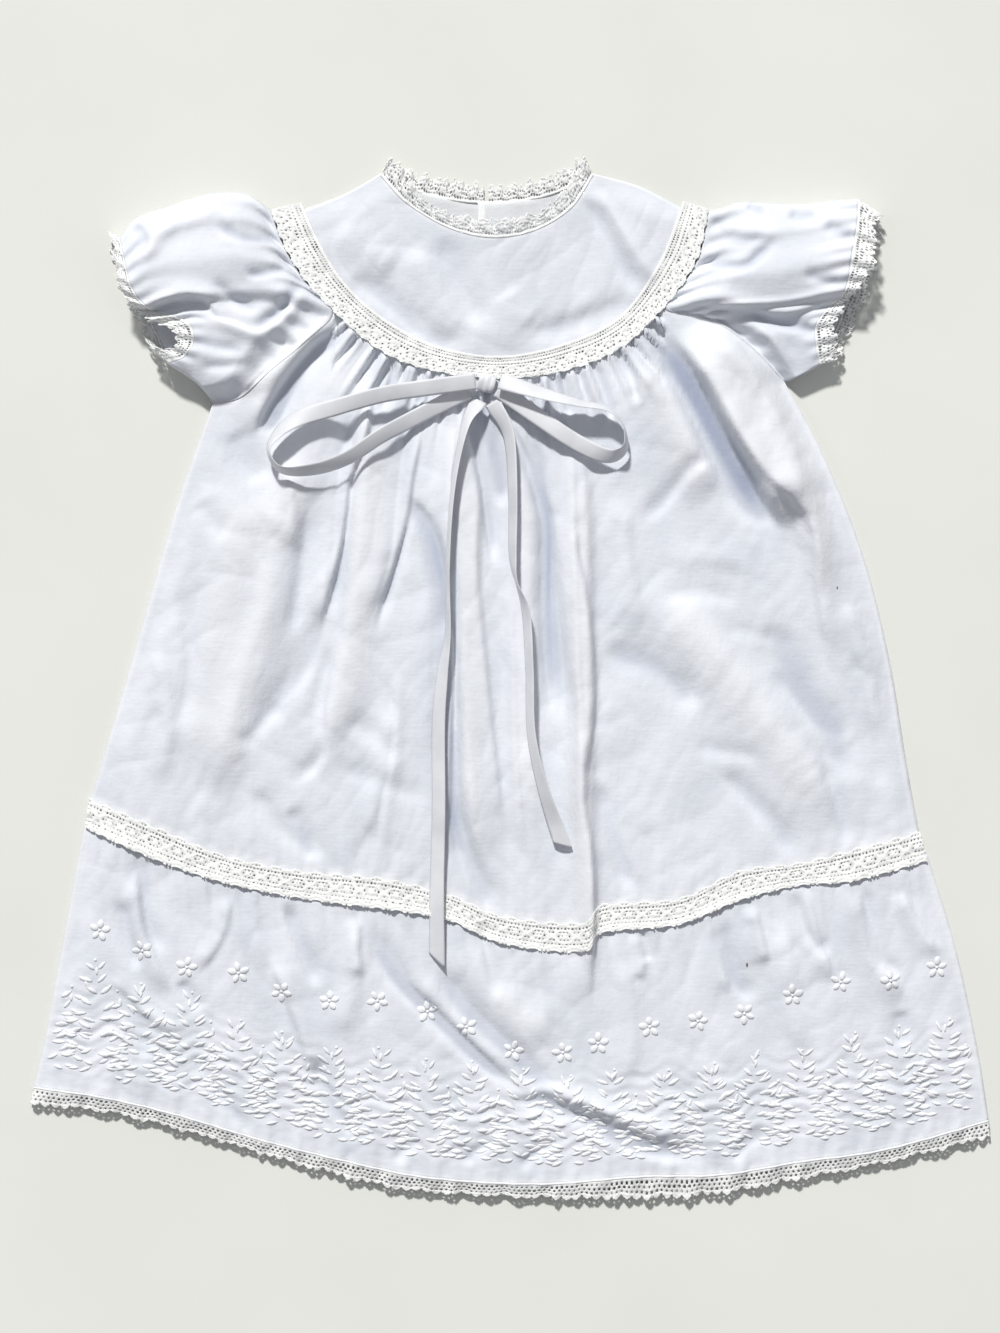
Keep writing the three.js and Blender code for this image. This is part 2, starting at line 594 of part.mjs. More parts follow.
gown.updateMatrixWorld(true);
const raycaster = new THREE.Raycaster();
const covers = ["yoke_front", "skirt_front", "flounce_front", "lace_yoke_front", "lace_insertion_front"]
  .map((name) => gown.getObjectByName(name));
const DOWN = new THREE.Vector3(0, 0, -1);
const ABOVE_ALL = 100;

/** Height of the faceted cloth under a place. */
function clothTop(x, y) {
  raycaster.set(new THREE.Vector3(x, y, ABOVE_ALL), DOWN);
  const hit = raycaster.intersectObjects(covers)[0];
  return hit ? hit.point.z : FRONT_BASE + CLOTH_WALL;
}

/** Highest cloth within a small reach of a place. */
function clothTopNear(x, y, reach) {
  let top = 0;
  for (const dx of [-reach, 0, reach]) {
    for (const dy of [-reach, 0, reach]) top = Math.max(top, clothTop(x + dx, y + dy));
  }
  return top;
}

const knotReach = KNOT.length / 2;
const knotBase = clothTopNear(KNOT.x, KNOT.y, knotReach * 0.7) + LAYER_GAP;
const KNOT_SIDES = 12;
const knotRings = [0.55, 0.9, 1, 0.9, 0.55].map((share, row, all) =>
  Array.from({ length: KNOT_SIDES }, (_, i) => {
    const angle = (i / KNOT_SIDES) * 2 * Math.PI;
    return new THREE.Vector3(
      KNOT.x + (share * KNOT.length / 2) * Math.cos(angle),
      KNOT.y + (share * KNOT.width / 2) * Math.sin(angle),
      knotBase + (row / (all.length - 1)) * KNOT.height);
  }));
addSweep("bow_knot", "ribbon", knotRings);

/** The four corners of a ribbon's section, laid across its direction and rolled about it. */
function ribbonSection(point, along, rollDegrees) {
  const roll = THREE.MathUtils.degToRad(rollDegrees);
  const side = new THREE.Vector3(-along.y, along.x, 0).normalize();
  const up = side.clone().cross(along).normalize();
  if (up.z < 0) up.negate();
  const wide = side.clone().multiplyScalar(Math.cos(roll)).addScaledVector(up, Math.sin(roll));
  const thick = along.clone().cross(wide).normalize();
  const corner = (w, t) => point.clone()
    .addScaledVector(wide, (w * RIBBON_WIDTH) / 2)
    .addScaledVector(thick, (t * RIBBON_WALL) / 2);
  return [corner(-1, -1), corner(1, -1), corner(1, 1), corner(-1, 1)];
}

for (const [name, rows] of Object.entries(BOW)) {
  const line = new THREE.CatmullRomCurve3(rows.map((row) => new THREE.Vector3(row.x, row.y, row.up)));
  const rolls = new THREE.CatmullRomCurve3(rows.map((row) => new THREE.Vector3(row.x, row.y, row.roll)));
  const steps = Math.max(8, Math.round(line.getLength() / RIBBON_STEP));
  const centres = [];
  const angles = [];
  for (let i = 0; i <= steps; i += 1) {
    const place = line.getPoint(i / steps);
    const roll = THREE.MathUtils.clamp(rolls.getPoint(i / steps).z, 0, 85);
    const tilt = Math.sin(THREE.MathUtils.degToRad(roll)) * (RIBBON_WIDTH / 2);
    const clear = clothTopNear(place.x, place.y, RIBBON_WIDTH / 2) + LAYER_GAP;
    place.z = clear + Math.max(place.z, 0) + tilt + RIBBON_WALL / 2;
    centres.push(place);
    angles.push(roll);
  }
  const rings = centres.map((point, i) => {
    const before = centres[Math.max(i - 1, 0)];
    const after = centres[Math.min(i + 1, steps)];
    return ribbonSection(point, after.clone().sub(before).normalize(), angles[i]);
  });
  addSweep(name, "ribbon", rings);
}

export default gown;
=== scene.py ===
# %% [markdown]
# # A baby's christening gown in white batiste
# The gown lies flat on its back. Under every visible piece is a rigid cloth wall from the CAD model.
# Here each wall gets a thin sheet of cloth, lace or ribbon that stands for it.
# Lengths in the tables are millimetres, X to the right, Y towards the neck and Z up.

# %% The fixed frame
import math
import random

import bmesh
import bpy
import numpy as np
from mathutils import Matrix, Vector


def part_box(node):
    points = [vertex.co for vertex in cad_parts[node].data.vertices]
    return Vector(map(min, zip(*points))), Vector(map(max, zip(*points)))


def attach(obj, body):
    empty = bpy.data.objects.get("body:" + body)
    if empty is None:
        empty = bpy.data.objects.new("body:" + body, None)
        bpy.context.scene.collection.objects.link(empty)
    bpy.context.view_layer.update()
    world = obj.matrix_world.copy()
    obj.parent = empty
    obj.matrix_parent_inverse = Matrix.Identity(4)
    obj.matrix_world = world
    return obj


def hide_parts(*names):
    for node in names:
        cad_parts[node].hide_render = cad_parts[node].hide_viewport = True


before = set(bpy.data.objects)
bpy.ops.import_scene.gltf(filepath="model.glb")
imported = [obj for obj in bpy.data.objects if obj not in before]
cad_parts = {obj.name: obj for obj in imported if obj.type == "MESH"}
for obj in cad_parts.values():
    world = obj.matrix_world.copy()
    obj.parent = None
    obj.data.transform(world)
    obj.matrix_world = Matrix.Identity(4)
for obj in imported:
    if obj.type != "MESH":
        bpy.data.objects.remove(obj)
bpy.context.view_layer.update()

MM = 0.001
print("nodes:", len(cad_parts))

# %% [markdown]
# ## Table, light and camera
# The gown lies on a pale surface and is seen from straight above, in sun that comes low from beyond the
# neck. The floor is one very large plane, so that it also fills the low views. One area lamp, far away,
# lights all of the floor alike and makes crisp shadows, and the plain world lifts the shade.

# %% Floor
FLOOR_SIZE = 30.0
FLOOR_DROP = 0.6  # keeps the lowest stitches and lace off the floor
bpy.ops.object.select_all(action="DESELECT")
bpy.ops.mesh.primitive_plane_add(size=FLOOR_SIZE, location=(0, 0, -FLOOR_DROP * MM))
floor = bpy.context.object
floor.name = "table_top"

# %% Camera above the middle, its long side along the gown
VIEW_LENGTH = 0.7198  # what the picture's long side takes in, in metres
VIEW_CENTRE = (-4.9, 6.5, 4.0)
LENS = 120.0
SENSOR = 36.0
camera_data = bpy.data.cameras.new("overhead")
camera_data.lens = LENS
camera_data.sensor_width = SENSOR
camera = bpy.data.objects.new("overhead", camera_data)
camera.location = Vector(VIEW_CENTRE) * MM + Vector((0, 0, VIEW_LENGTH * LENS / SENSOR))
bpy.context.scene.collection.objects.link(camera)
bpy.context.scene.camera = camera
print("camera height, m:", round(camera.location.z, 2))

# %% Lamp and world
LIGHT_TRAVEL = Vector((0.25, -0.968, 0.0)).normalized()  # which way shadows fall
LIGHT_ANGLE = math.radians(42)
LAMP_DISTANCE, LAMP_SIZE, LAMP_POWER = 24.0, 1.9, 6560
SHADE_STRENGTH = 0.34
lamp_data = bpy.data.lights.new("sun_through_window", "AREA")
lamp_data.size = LAMP_SIZE
lamp_data.energy = LAMP_POWER
lamp_data.color = (1.0, 0.995, 0.975)
lamp = bpy.data.objects.new("sun_through_window", lamp_data)
to_lamp = -LIGHT_TRAVEL * math.cos(LIGHT_ANGLE) + Vector((0, 0, math.sin(LIGHT_ANGLE)))
lamp.location = to_lamp.normalized() * LAMP_DISTANCE
lamp.rotation_euler = (-to_lamp).to_track_quat("-Z", "Y").to_euler()
bpy.context.scene.collection.objects.link(lamp)
world = bpy.data.worlds.new("room_light")
world.use_nodes = True
sky = world.node_tree.nodes["Background"]
sky.inputs["Color"].default_value = (0.93, 0.95, 1.0, 1)
sky.inputs["Strength"].default_value = SHADE_STRENGTH
bpy.context.scene.world = world
bpy.context.scene.view_settings.view_transform = "Standard"  # whites stay as light as cotton in sun
print("lamp height, m:", round(lamp.location.z, 1))

# %% [markdown]
# ## Seams
# A maker's pattern is a set of lines. Each seam here is a smooth line through a few places, and both
# pieces that meet at it use it, so that they stay together. A centripetal Catmull-Rom curve passes
# through every place and doesn't overshoot at uneven spacing.

# %% Seam table
SEAMS = {
    "neckLaceFront": [(-65, 281.6), (-55, 271), (-47, 259), (-34, 252), (-18, 248), (2, 248),
        (20, 254), (34, 270), (41, 281)],
    "neckFront": [(-69, 273), (-54, 257), (-32, 244), (-9, 239), (14, 243), (33, 255), (45, 273)],
    "neckLaceBack": [(-65, 281.6), (-50, 273), (-28, 269), (-4, 266), (20, 271), (41, 281)],
    "neckBack": [(-69, 273), (-46, 263), (-10, 258), (20, 262), (45, 273)],
    "shoulderLeft": [(-69, 273), (-91, 263), (-112, 257)],
    "shoulderRight": [(45, 273), (70, 268), (94, 258)],
    "yokeInner": [(-112, 257), (-102, 235), (-89, 214), (-67, 194), (-37, 179), (-5, 174),
        (27, 180), (59, 195), (80, 223), (94, 258)],
    "capLeft": [(-129, 253), (-122, 234), (-110, 214), (-95, 198)],
    "yokeLower": [(-95, 198), (-80, 184), (-59, 171), (-26, 163), (8, 162), (38, 168), (62, 179), (84, 200)],
    "capRight": [(84, 200), (95, 214), (103, 229), (108, 253)],
    "armholeLeft": [(-95, 198), (-110, 181), (-128, 166), (-146, 151), (-160, 149)],
    "armholeRight": [(84, 200), (108, 194), (130, 179), (149, 160)],
    "sideLeft": [(-160, 149), (-179, 96), (-195, 42), (-211, -12), (-227, -64)],
    "sideRight": [(149, 160), (169, 123), (191, 69), (205, 15), (214, -39), (222, -82)],
    "insertionTop": [
        (-227, -64), (-189, -80), (-156, -94), (-113, -103), (-70, -107), (-32, -116), (-5, -127),
        (43, -129.5), (47.5, -122.5), (92, -118), (125, -103), (157, -99), (184, -92), (222, -82)],
    "insertionBottom": [
        (-229, -81), (-189, -99), (-156, -110), (-113, -119), (-59, -126), (-32, -131), (-5, -143),
        (43, -146.5), (47.5, -139), (92, -133), (125, -120), (157, -112), (184, -110), (226, -99)],
    "flounceLeft": [(-229, -81), (-241, -144), (-252, -201), (-257, -221)],
    "flounceRight": [(226, -99), (241, -147), (253, -201), (259, -239)],
    "hem": [
        (-257, -221), (-221, -226), (-178, -236), (-135, -249), (-91, -260), (-48, -269),
        (17, -273), (71, -269), (114, -268), (157, -261), (200, -255), (259, -239)],
    "hemLace": [
        (-259, -231), (-221, -234), (-167, -247), (-113, -263), (-59, -276), (-5, -280),
        (49, -281.6), (103, -280), (157, -271), (211, -260), (259.7, -248)],
    "sleeveTopLeft": [(-129, 253), (-141, 261), (-160, 262), (-183, 255), (-202, 248), (-210, 238)],
    "sleeveUnderLeft": [(-160, 149), (-167, 158), (-183, 169)],
    "cuffFrontLeft": [(-210, 238), (-206, 222), (-202, 209), (-195, 200), (-183, 196), (-172, 191),
        (-169, 182), (-174, 173), (-183, 169)],
    "cuffBackLeft": [(-210, 238), (-206, 220), (-199, 203), (-190, 186), (-183, 169)],
    "cuffLaceFrontLeft": [(-217, 242), (-212, 228), (-211, 213), (-204, 199), (-191, 190),
        (-181, 186), (-180, 181), (-186, 178), (-195, 179)],
    "cuffLaceBackLeft": [(-217, 242), (-215, 224), (-208, 206), (-201, 192), (-195, 179)],
    "sleeveTopRight": [(108, 253), (114, 254), (124, 257), (157, 256), (175, 258), (188, 259)],
    "sleeveUnderRight": [(149, 160), (157, 163), (167, 169)],
    "cuffFrontRight": [(188, 259), (187, 245), (184, 229), (180, 208), (172, 200), (165, 190),
        (165, 178), (167, 169)],
    "cuffBackRight": [(188, 259), (188, 240), (185, 215), (177, 190), (167, 169)],
    "cuffLaceFrontRight": [(202, 250), (198, 236), (199, 225), (192, 213), (184, 204), (179, 195),
        (177, 183), (178, 172)],
    "cuffLaceBackRight": [(202, 250), (201, 232), (197, 212), (188, 192), (178, 172)],
}

# %% Smooth lines and patches


def smooth_line(places, count):
    """`count` + 1 places at equal spacing on a smooth line through a few given ones."""
    p = np.array(places, float)
    p = np.vstack([2 * p[0] - p[1], p, 2 * p[-1] - p[-2]])
    u = np.linspace(0, 1, 25)[:-1, None]
    dense = []
    for a, b, c, d in zip(p, p[1:], p[2:], p[3:]):
        before, here, after = (max(float(np.linalg.norm(q - r)), 1e-6) ** 0.5
                               for q, r in ((a, b), (b, c), (c, d)))
        start = ((b - a) / before - (c - a) / (before + here) + (c - b) / here) * here
        end = ((c - b) / here - (d - b) / (here + after) + (d - c) / after) * here
        dense.append((2 * u**3 - 3 * u**2 + 1) * b + (u**3 - 2 * u**2 + u) * start
                     + (3 * u**2 - 2 * u**3) * c + (u**3 - u**2) * end)
    dense = np.vstack([*dense, p[-2:-1]])
    run = np.r_[0, np.cumsum(np.linalg.norm(np.diff(dense[:, :2], axis=0), axis=1))]
    at = np.linspace(0, run[-1], count + 1)
    return np.stack([np.interp(at, run, dense[:, k]) for k in range(dense.shape[1])], 1)


def seam(name, count):
    return smooth_line(SEAMS[name], count)


def line_length(line):
    return float(np.linalg.norm(np.diff(line[:, :2], axis=0), axis=1).sum())


def crowded(count, middle, spread, extra):
    """Shares from 0 to 1 that stand closer together round a middle."""
    t = np.linspace(0, 1, 500)
    run = np.cumsum(1 + extra * np.exp(-(((t - middle) / spread) ** 2)))
    return np.interp(np.linspace(0, 1, count + 1), (run - run[0]) / (run[-1] - run[0]), t)


def picked(line, shares):
    """Places at given shares of a line."""
    at = np.linspace(0, 1, len(line))
    return np.stack([np.interp(shares, at, line[:, k]) for k in range(line.shape[1])], -1)


def patch(top, bottom, left, right, columns=None):
    """A grid of places between four lines, rows from top to bottom: a Coons patch."""
    u = (np.linspace(0, 1, len(top)) if columns is None else columns)[None, :, None]
    v = np.linspace(0, 1, len(left))[:, None, None]
    left = left + (top[0] - left[0]) * (1 - v[:, 0]) + (bottom[0] - left[-1]) * v[:, 0]
    right = right + (top[-1] - right[0]) * (1 - v[:, 0]) + (bottom[-1] - right[-1]) * v[:, 0]
    return (top[None] * (1 - v) + bottom[None] * v + left[:, None] * (1 - u) + right[:, None] * u
            - top[0] * (1 - u) * (1 - v) - top[-1] * u * (1 - v)
            - bottom[0] * (1 - u) * v - bottom[-1] * u * v)


def smoothstep(value, low, high):
    t = np.clip((value - low) / (high - low), 0, 1)
    return t * t * (3 - 2 * t)


def over_grid(function, *grids):
    """A function of flat lists of places, worked out over grids that share a shape."""
    return function(*(grid.ravel() for grid in grids)).reshape(grids[0].shape)


print("seams:", len(SEAMS), "and the hem is", round(line_length(seam("hem", 90))), "mm long")


# %% [markdown]
# ## Folds
# Soft cloth is read by its folds. A simulation would give other folds than the ones this gown has, so
# each one is listed, as a sculptor draws strokes: a line, a height, and the width of its two
# flanks. A narrow flank beside a wide one makes the crisp edge of a pleat; two wide flanks make a swell.

# %% Large folds, which the CAD walls have too
FOLDS = [  # height, width of the left and right flank, line
    (5, 7, 7, [(-95, 198), (-120, 172), (-150, 152)]),
    (-6, 6, 5, [(-86, 190), (-108, 174), (-120, 156), (-134, 128)]),
    (5, 14, 12, [(-80, 178), (-98, 150), (-110, 118), (-128, 60)]),
    (4, 22, 20, [(-140, 120), (-150, 60), (-160, 0), (-172, -60)]),
    (-4, 5, 4, [(-83, 153), (-89, 107), (-92, 64), (-97, 30)]),
    (5, 7, 12, [(-70, 165), (-76, 120), (-80, 60), (-90, 0), (-108, -60)]),
    (-4, 5, 4, [(-48, 158), (-56, 113), (-61, 70), (-74, 21)]),
    (-5, 8, 5, [(-56, 99), (-43, 80), (-35, 50), (-33, -20), (-29, -118)]),
    (5, 6, 10, [(-28, 158), (-25, 100), (-23, 20), (-20, -60), (-12, -120)]),
    (-4, 5, 5, [(-20, 155), (-8, 123), (-2, 90)]),
    (4, 8, 8, [(5, 155), (9, 90), (10, 0), (12, -110)]),
    (-4, 5, 5, [(4, 150), (19, 104), (23, 42), (30, -30)]),
    (5, 9, 4, [(34, 150), (40, 100), (42, 20), (42, -70), (44, -125), (43, -180)]),
    (-7, 7, 7, [(70, 186), (85, 176), (101, 153), (115, 128), (143, 84)]),
    (6, 8, 8, [(88, 196), (118, 178), (140, 150), (158, 100), (172, 40)]),
    (6, 14, 9, [(60, 172), (82, 152), (98, 126), (112, 96)]),
    (5, 16, 14, [(72, 60), (112, 10), (150, -40), (172, -84)]),
    (-2, 8, 10, [(48, 14), (76, 6), (104, -16)]),
    (-3, 9, 9, [(140, 30), (166, -14), (184, -60)]),
    (-4, 6, 6, [(-43, -152), (-24, -179), (6, -206), (33, -238)]),
    (3, 9, 12, [(-30, -142), (-6, -172), (24, -200)]),
    (-0.8, 7, 7, [(112, -132), (122, -160), (134, -176)]),
    (-2, 6, 6, [(38, -236), (76, -248), (112, -256)]),
    (1.6, 16, 16, [(-10, 262), (-9, 220), (-7, 168)]),
]

# %% Creases, which only the cloth has
CREASES = [
    # yoke
    (-1.4, 6, 8, [(-36, 240), (-28, 215), (-15, 188)]),
    (1.6, 9, 6, [(-52, 236), (-42, 212), (-24, 182)]),
    (-1.9, 5, 7, [(-84, 218), (-62, 201), (-45, 186), (-28, 176)]),
    (-1.7, 3, 7, [(40, 262), (54, 236), (69, 206)]),
    (1.7, 6, 3, [(46, 266), (62, 240), (80, 212)]),
    (-1.4, 6, 5, [(8, 184), (38, 193), (68, 206)]),
    (1.0, 8, 7, [(-2, 210), (5, 200), (14, 192)]),
    (1.2, 9, 9, [(-92, 244), (-74, 230), (-60, 222)]),
    # left of the skirt
    (2.6, 9, 11, [(-121, 86), (-134, 21), (-145, -12), (-159, -66)]),
    (-1.4, 6, 8, [(-150, 134), (-142, 118), (-134, 104)]),
    (-0.9, 5, 7, [(-168, 96), (-160, 84), (-150, 78)]),
    (3.4, 8, 1.6, [(-75, 168), (-77, 134), (-87, 107), (-89, 87), (-93, 66), (-99, 44), (-105, 18)]),
    (-1.6, 5, 3, [(-97, 21), (-101, -12), (-103, -44), (-121, -58)]),
    (-1.0, 4, 5, [(-124, -12), (-133, -24), (-146, -38)]),
    (2.8, 8, 1.5, [(-46, 142), (-53, 109), (-56, 87), (-65, 56), (-75, 25)]),
    (-1.0, 5, 7, [(-91, -22), (-72, -31), (-58, -46)]),
    (-0.9, 5, 6, [(-96, -46), (-70, -56), (-42, -66)]),
    (-3.2, 5, 2.2, [(-56, 100), (-43, 82), (-35, 56), (-32, 18)]),
    (2.6, 6, 1.5, [(-27, 150), (-31, 120), (-33, 64), (-31, 8), (-33, -66), (-29, -112)]),
    (-3.6, 2.2, 4, [(-24, 148), (-18, 122), (-12, 92), (-8, 60)]),
    (-3.6, 4.5, 1.7, [(-3, 146), (7, 124), (17, 100), (22, 86), (21, 40), (24, -24)]),
    (3.6, 7, 2.2, [(-91, 194), (-109, 179), (-122, 163), (-133, 146), (-140, 130)]),
    (-2.6, 2, 2, [(-62, 172), (-64, 158), (-69, 144)]),
    (-2.4, 2, 2, [(-45, 168), (-46, 156), (-50, 146)]),
    (-2.4, 2, 2, [(14, 164), (15, 150), (17, 138)]),
    (-2.4, 2, 2.4, [(28, 166), (30, 152), (33, 140)]),
    (-2.6, 2.4, 2, [(46, 170), (52, 156), (56, 140)]),
    (-2.6, 2.4, 2, [(58, 176), (66, 162), (70, 148)]),
    (1.5, 3, 5, [(17, 134), (27, 64), (35, 0), (40, -28)]),
    (3.0, 8, 1.7, [(30, 96), (41, 42), (45, -12), (39, -60), (44, -94), (45, -130), (41, -190)]),
    (1.4, 4, 4, [(-128, 128), (-118, 100), (-116, 66)]),
    (1.5, 5, 2.2, [(33, 142), (35, 66), (38, -29), (41, -98)]),
    (1.5, 4, 2, [(-13, 129), (-18, 66), (-13, 2), (-3, -93)]),
    (-1.3, 8, 4, [(-98, 41), (-108, 9), (-124, -12), (-140, -29)]),
    (1.2, 2, 5, [(-62, 10), (-60, -30), (-66, -70), (-70, -100)]),
    (1.1, 4, 2, [(0, 60), (2, 10), (4, -50), (8, -100)]),
    (-1.4, 4, 5, [(-108, 96), (-112, 60), (-118, 20)]),
    (1.4, 6, 5, [(-64, -12), (-68, -50), (-80, -92)]),
    (-1.3, 5, 5, [(-136, -58), (-126, -78), (-104, -94)]),
    (1.3, 6, 4, [(-190, 20), (-184, -20), (-188, -58)]),
    (-1.2, 4, 6, [(-176, 50), (-172, 8), (-178, -30)]),
    # left of the flounce
    (1.8, 7, 2, [(-202, -102), (-197, -139), (-182, -171)]),
    (1.6, 6, 1.8, [(-81, -128), (-82, -145), (-80, -162)]),
    (2.2, 2, 8, [(-60, -157), (-40, -176), (-18, -197), (8, -222)]),
    (1.4, 2.2, 6, [(-214, -162), (-195, -181), (-176, -194)]),
    (1.4, 6, 2, [(-150, -116), (-156, -140), (-168, -158)]),
    # right of the flounce
    (2.0, 7, 1.6, [(159, -110), (167, -142), (176, -164)]),
    (1.6, 6, 1.8, [(130, -122), (136, -140), (140, -155)]),
    (1.7, 9, 2.2, [(187, -112), (200, -152), (214, -174)]),
    (1.8, 7, 2, [(211, -114), (220, -132), (233, -150)]),
    (1.4, 5, 1.8, [(113, -128), (116, -150), (118, -171)]),
    (1.4, 5, 1.8, [(70, -136), (72, -150), (71, -164)]),
    # right of the skirt
    (-3.4, 8, 4, [(86, 184), (98, 158), (108, 134), (120, 110), (136, 90), (150, 78)]),
    (9.6, 3.4, 20, [(90, 187), (108, 160), (121, 136), (133, 116), (141, 99), (151, 79)]),
    (2.6, 2.5, 9, [(103, 161), (136, 113), (163, 86), (168, 42), (177, -1)]),
    (-1.5, 5, 3, [(111, 121), (98, 113), (84, 96), (71, 84)]),
    (-0.8, 4, 6, [(79, 43), (100, 46), (126, 42)]),
    (-0.7, 4, 5, [(114, 27), (134, 24), (158, 18)]),
    (-1.0, 4, 6, [(49, 13), (71, 10), (92, -4), (103, -18)]),
    (-2.0, 4, 6, [(141, 5), (168, -22), (186, -32)]),
    (-0.8, 4, 5, [(98, -36), (118, -40), (138, -42)]),
    (-2.2, 3, 6, [(114, -49), (144, -82), (152, -99)]),
    (-1.8, 3, 5, [(168, -44), (178, -70), (182, -92)]),
    (-1.8, 5, 3, [(49, -55), (55, -82), (68, -118)]),
    (1.5, 8, 5, [(60, 100), (64, 60), (70, 26)]),
    (0.7, 6, 6, [(84, 62), (104, 66), (128, 62)]),
    (1.4, 5, 5, [(180, 50), (190, 10), (200, -36)]),
    (-1.2, 5, 5, [(188, 20), (192, -24), (204, -64)]),
    # all over the flounce
    (-2.0, 3, 5, [(-199, -92), (-194, -136), (-186, -150)]),
    (-1.8, 4, 4, [(-210, -118), (-206, -140), (-199, -158)]),
    (-1.8, 3, 4, [(-178, -163), (-172, -172), (-167, -180)]),
    (-1.6, 5, 4, [(-210, -162), (-200, -190), (-194, -206)]),
    (1.8, 2.5, 7, [(-129, -148), (-118, -174), (-110, -196), (-105, -218)]),
    (-3.6, 3, 7, [(-81, -130), (-62, -162), (-40, -184), (-17, -206), (11, -225)]),
    (-1.5, 4, 4, [(-16, -130), (-10, -152), (-5, -174)]),
    (-2.2, 3, 5, [(-122, -120), (-116, -136), (-109, -153), (-104, -168)]),
    (-1.8, 3, 4, [(-173, -200), (-154, -228), (-141, -246)]),
    (-1.8, 3, 4, [(-106, -203), (-94, -234), (-82, -250)]),
    (-1.6, 4, 6, [(-119, -69), (-110, -85), (-106, -100)]),
    (-2.2, 3, 6, [(-36, -63), (-18, -106), (-8, -128)]),
    (-2.4, 3, 4, [(-6, -226), (22, -232), (44, -240), (64, -252), (102, -260)]),
    (2.6, 4, 5, [(2, -218), (30, -225), (52, -234), (76, -244), (104, -250)]),
    (-1.4, 3, 4, [(71, -136), (73, -146), (74, -154)]),
    (-2.2, 3, 5, [(111, -128), (122, -163), (133, -174)]),
    (-2.0, 3, 5, [(154, -114), (160, -136), (173, -152)]),
    (-1.8, 3, 4, [(190, -108), (200, -152), (214, -160)]),
    (-1.4, 4, 4, [(211, -179), (212, -190), (211, -200)]),
    (1.5, 7, 7, [(-80, -130), (-84, -160), (-92, -196)]),
    (1.4, 6, 6, [(60, -150), (66, -190), (62, -222)]),
    (1.4, 6, 6, [(146, -130), (150, -170), (160, -204)]),
    (-1.6, 3, 3, [(-26, -262), (-16, -254), (-10, -246)]),
    (-1.6, 3, 3, [(6, -266), (14, -256), (26, -250)]),
    (-1.3, 3, 3, [(-62, -262), (-56, -254), (-46, -250)]),
    (-1.3, 3, 3, [(120, -262), (128, -252), (140, -244)]),
]
FOLD_END = 0.22

# %% How high the front stands


def nearest(line, x, y):
    """Distance to a broken line, side (+1 to its left) and share of its length, for many places."""
    a, d = line[:-1, :2], np.diff(line[:, :2], axis=0)
    off_x, off_y = x[:, None] - a[:, 0], y[:, None] - a[:, 1]
    t = np.clip((off_x * d[:, 0] + off_y * d[:, 1]) / (d**2).sum(1), 0, 1)
    off_x, off_y = off_x - d[:, 0] * t, off_y - d[:, 1] * t
    distance = np.hypot(off_x, off_y)
    k = distance.argmin(1)[:, None]
    pick = lambda values: np.take_along_axis(values, k, 1)[:, 0]
    side = pick(d[:, 1] * off_x - d[:, 0] * off_y)
    return pick(distance), np.where(side < 0, -1, 1), (k[:, 0] + pick(t)) / len(d)


def folded(x, y, rows, end=FOLD_END):
    """The sum of all the rows' folds at many places."""
    height = np.zeros(len(x))
    for amount, left, right, places in rows:
        line = smooth_line(places, 14)
        reach = 2.6 * max(left, right)
        low, high = line.min(0) - reach, line.max(0) + reach
        near = np.flatnonzero((x > low[0]) & (x < high[0]) & (y > low[1]) & (y < high[1]))
        if len(near) == 0:
            continue
        distance, side, share = nearest(line, x[near], y[near])
        width = np.where(side > 0, left, right)
        ends = smoothstep(share, 0, end) * (1 - smoothstep(share, 1 - end, 1))
        height[near] += amount * np.exp(-((distance / width) ** 2)) * ends
    return height


FRONT_BASE, WALL, LOFT, EDGE_FADE = 1.5, 1.2, 2.4, 16
OUTER_EDGES = [seam(name, 12) for name in
               ("sideLeft", "sideRight", "flounceLeft", "flounceRight", "shoulderLeft", "shoulderRight")]


def edge_fade(x, y, reach=EDGE_FADE):
    return smoothstep(np.min([nearest(line, x, y)[0] for line in OUTER_EDGES], axis=0), 0, reach)


def waves(value, *parts):
    """Uneven ripples: a sum of sines, each with a pitch, a share and a drift."""
    return sum(share * np.sin(2 * np.pi * value / pitch + drift * np.sin(value / (pitch * 2.3)))
               for pitch, share, drift in parts)


yoke_edge = seam("yokeLower", 60)
yoke_edge_length = line_length(yoke_edge)
insertion_low = seam("insertionBottom", 90)
insertion_high = seam("insertionTop", 90)
hem_line = seam("hem", 90)


GATHER_HEIGHT = 2.3  # under the yoke band
LOWER_TUCK, UPPER_TUCK = 0.55, 0.4  # below and above the insertion
PUCKER, HEM_WAVE = 0.9, 0.8  # in the embroidered border and along the hem
BORDER_MIDDLE, BORDER_REACH = 34, 21  # above the hem


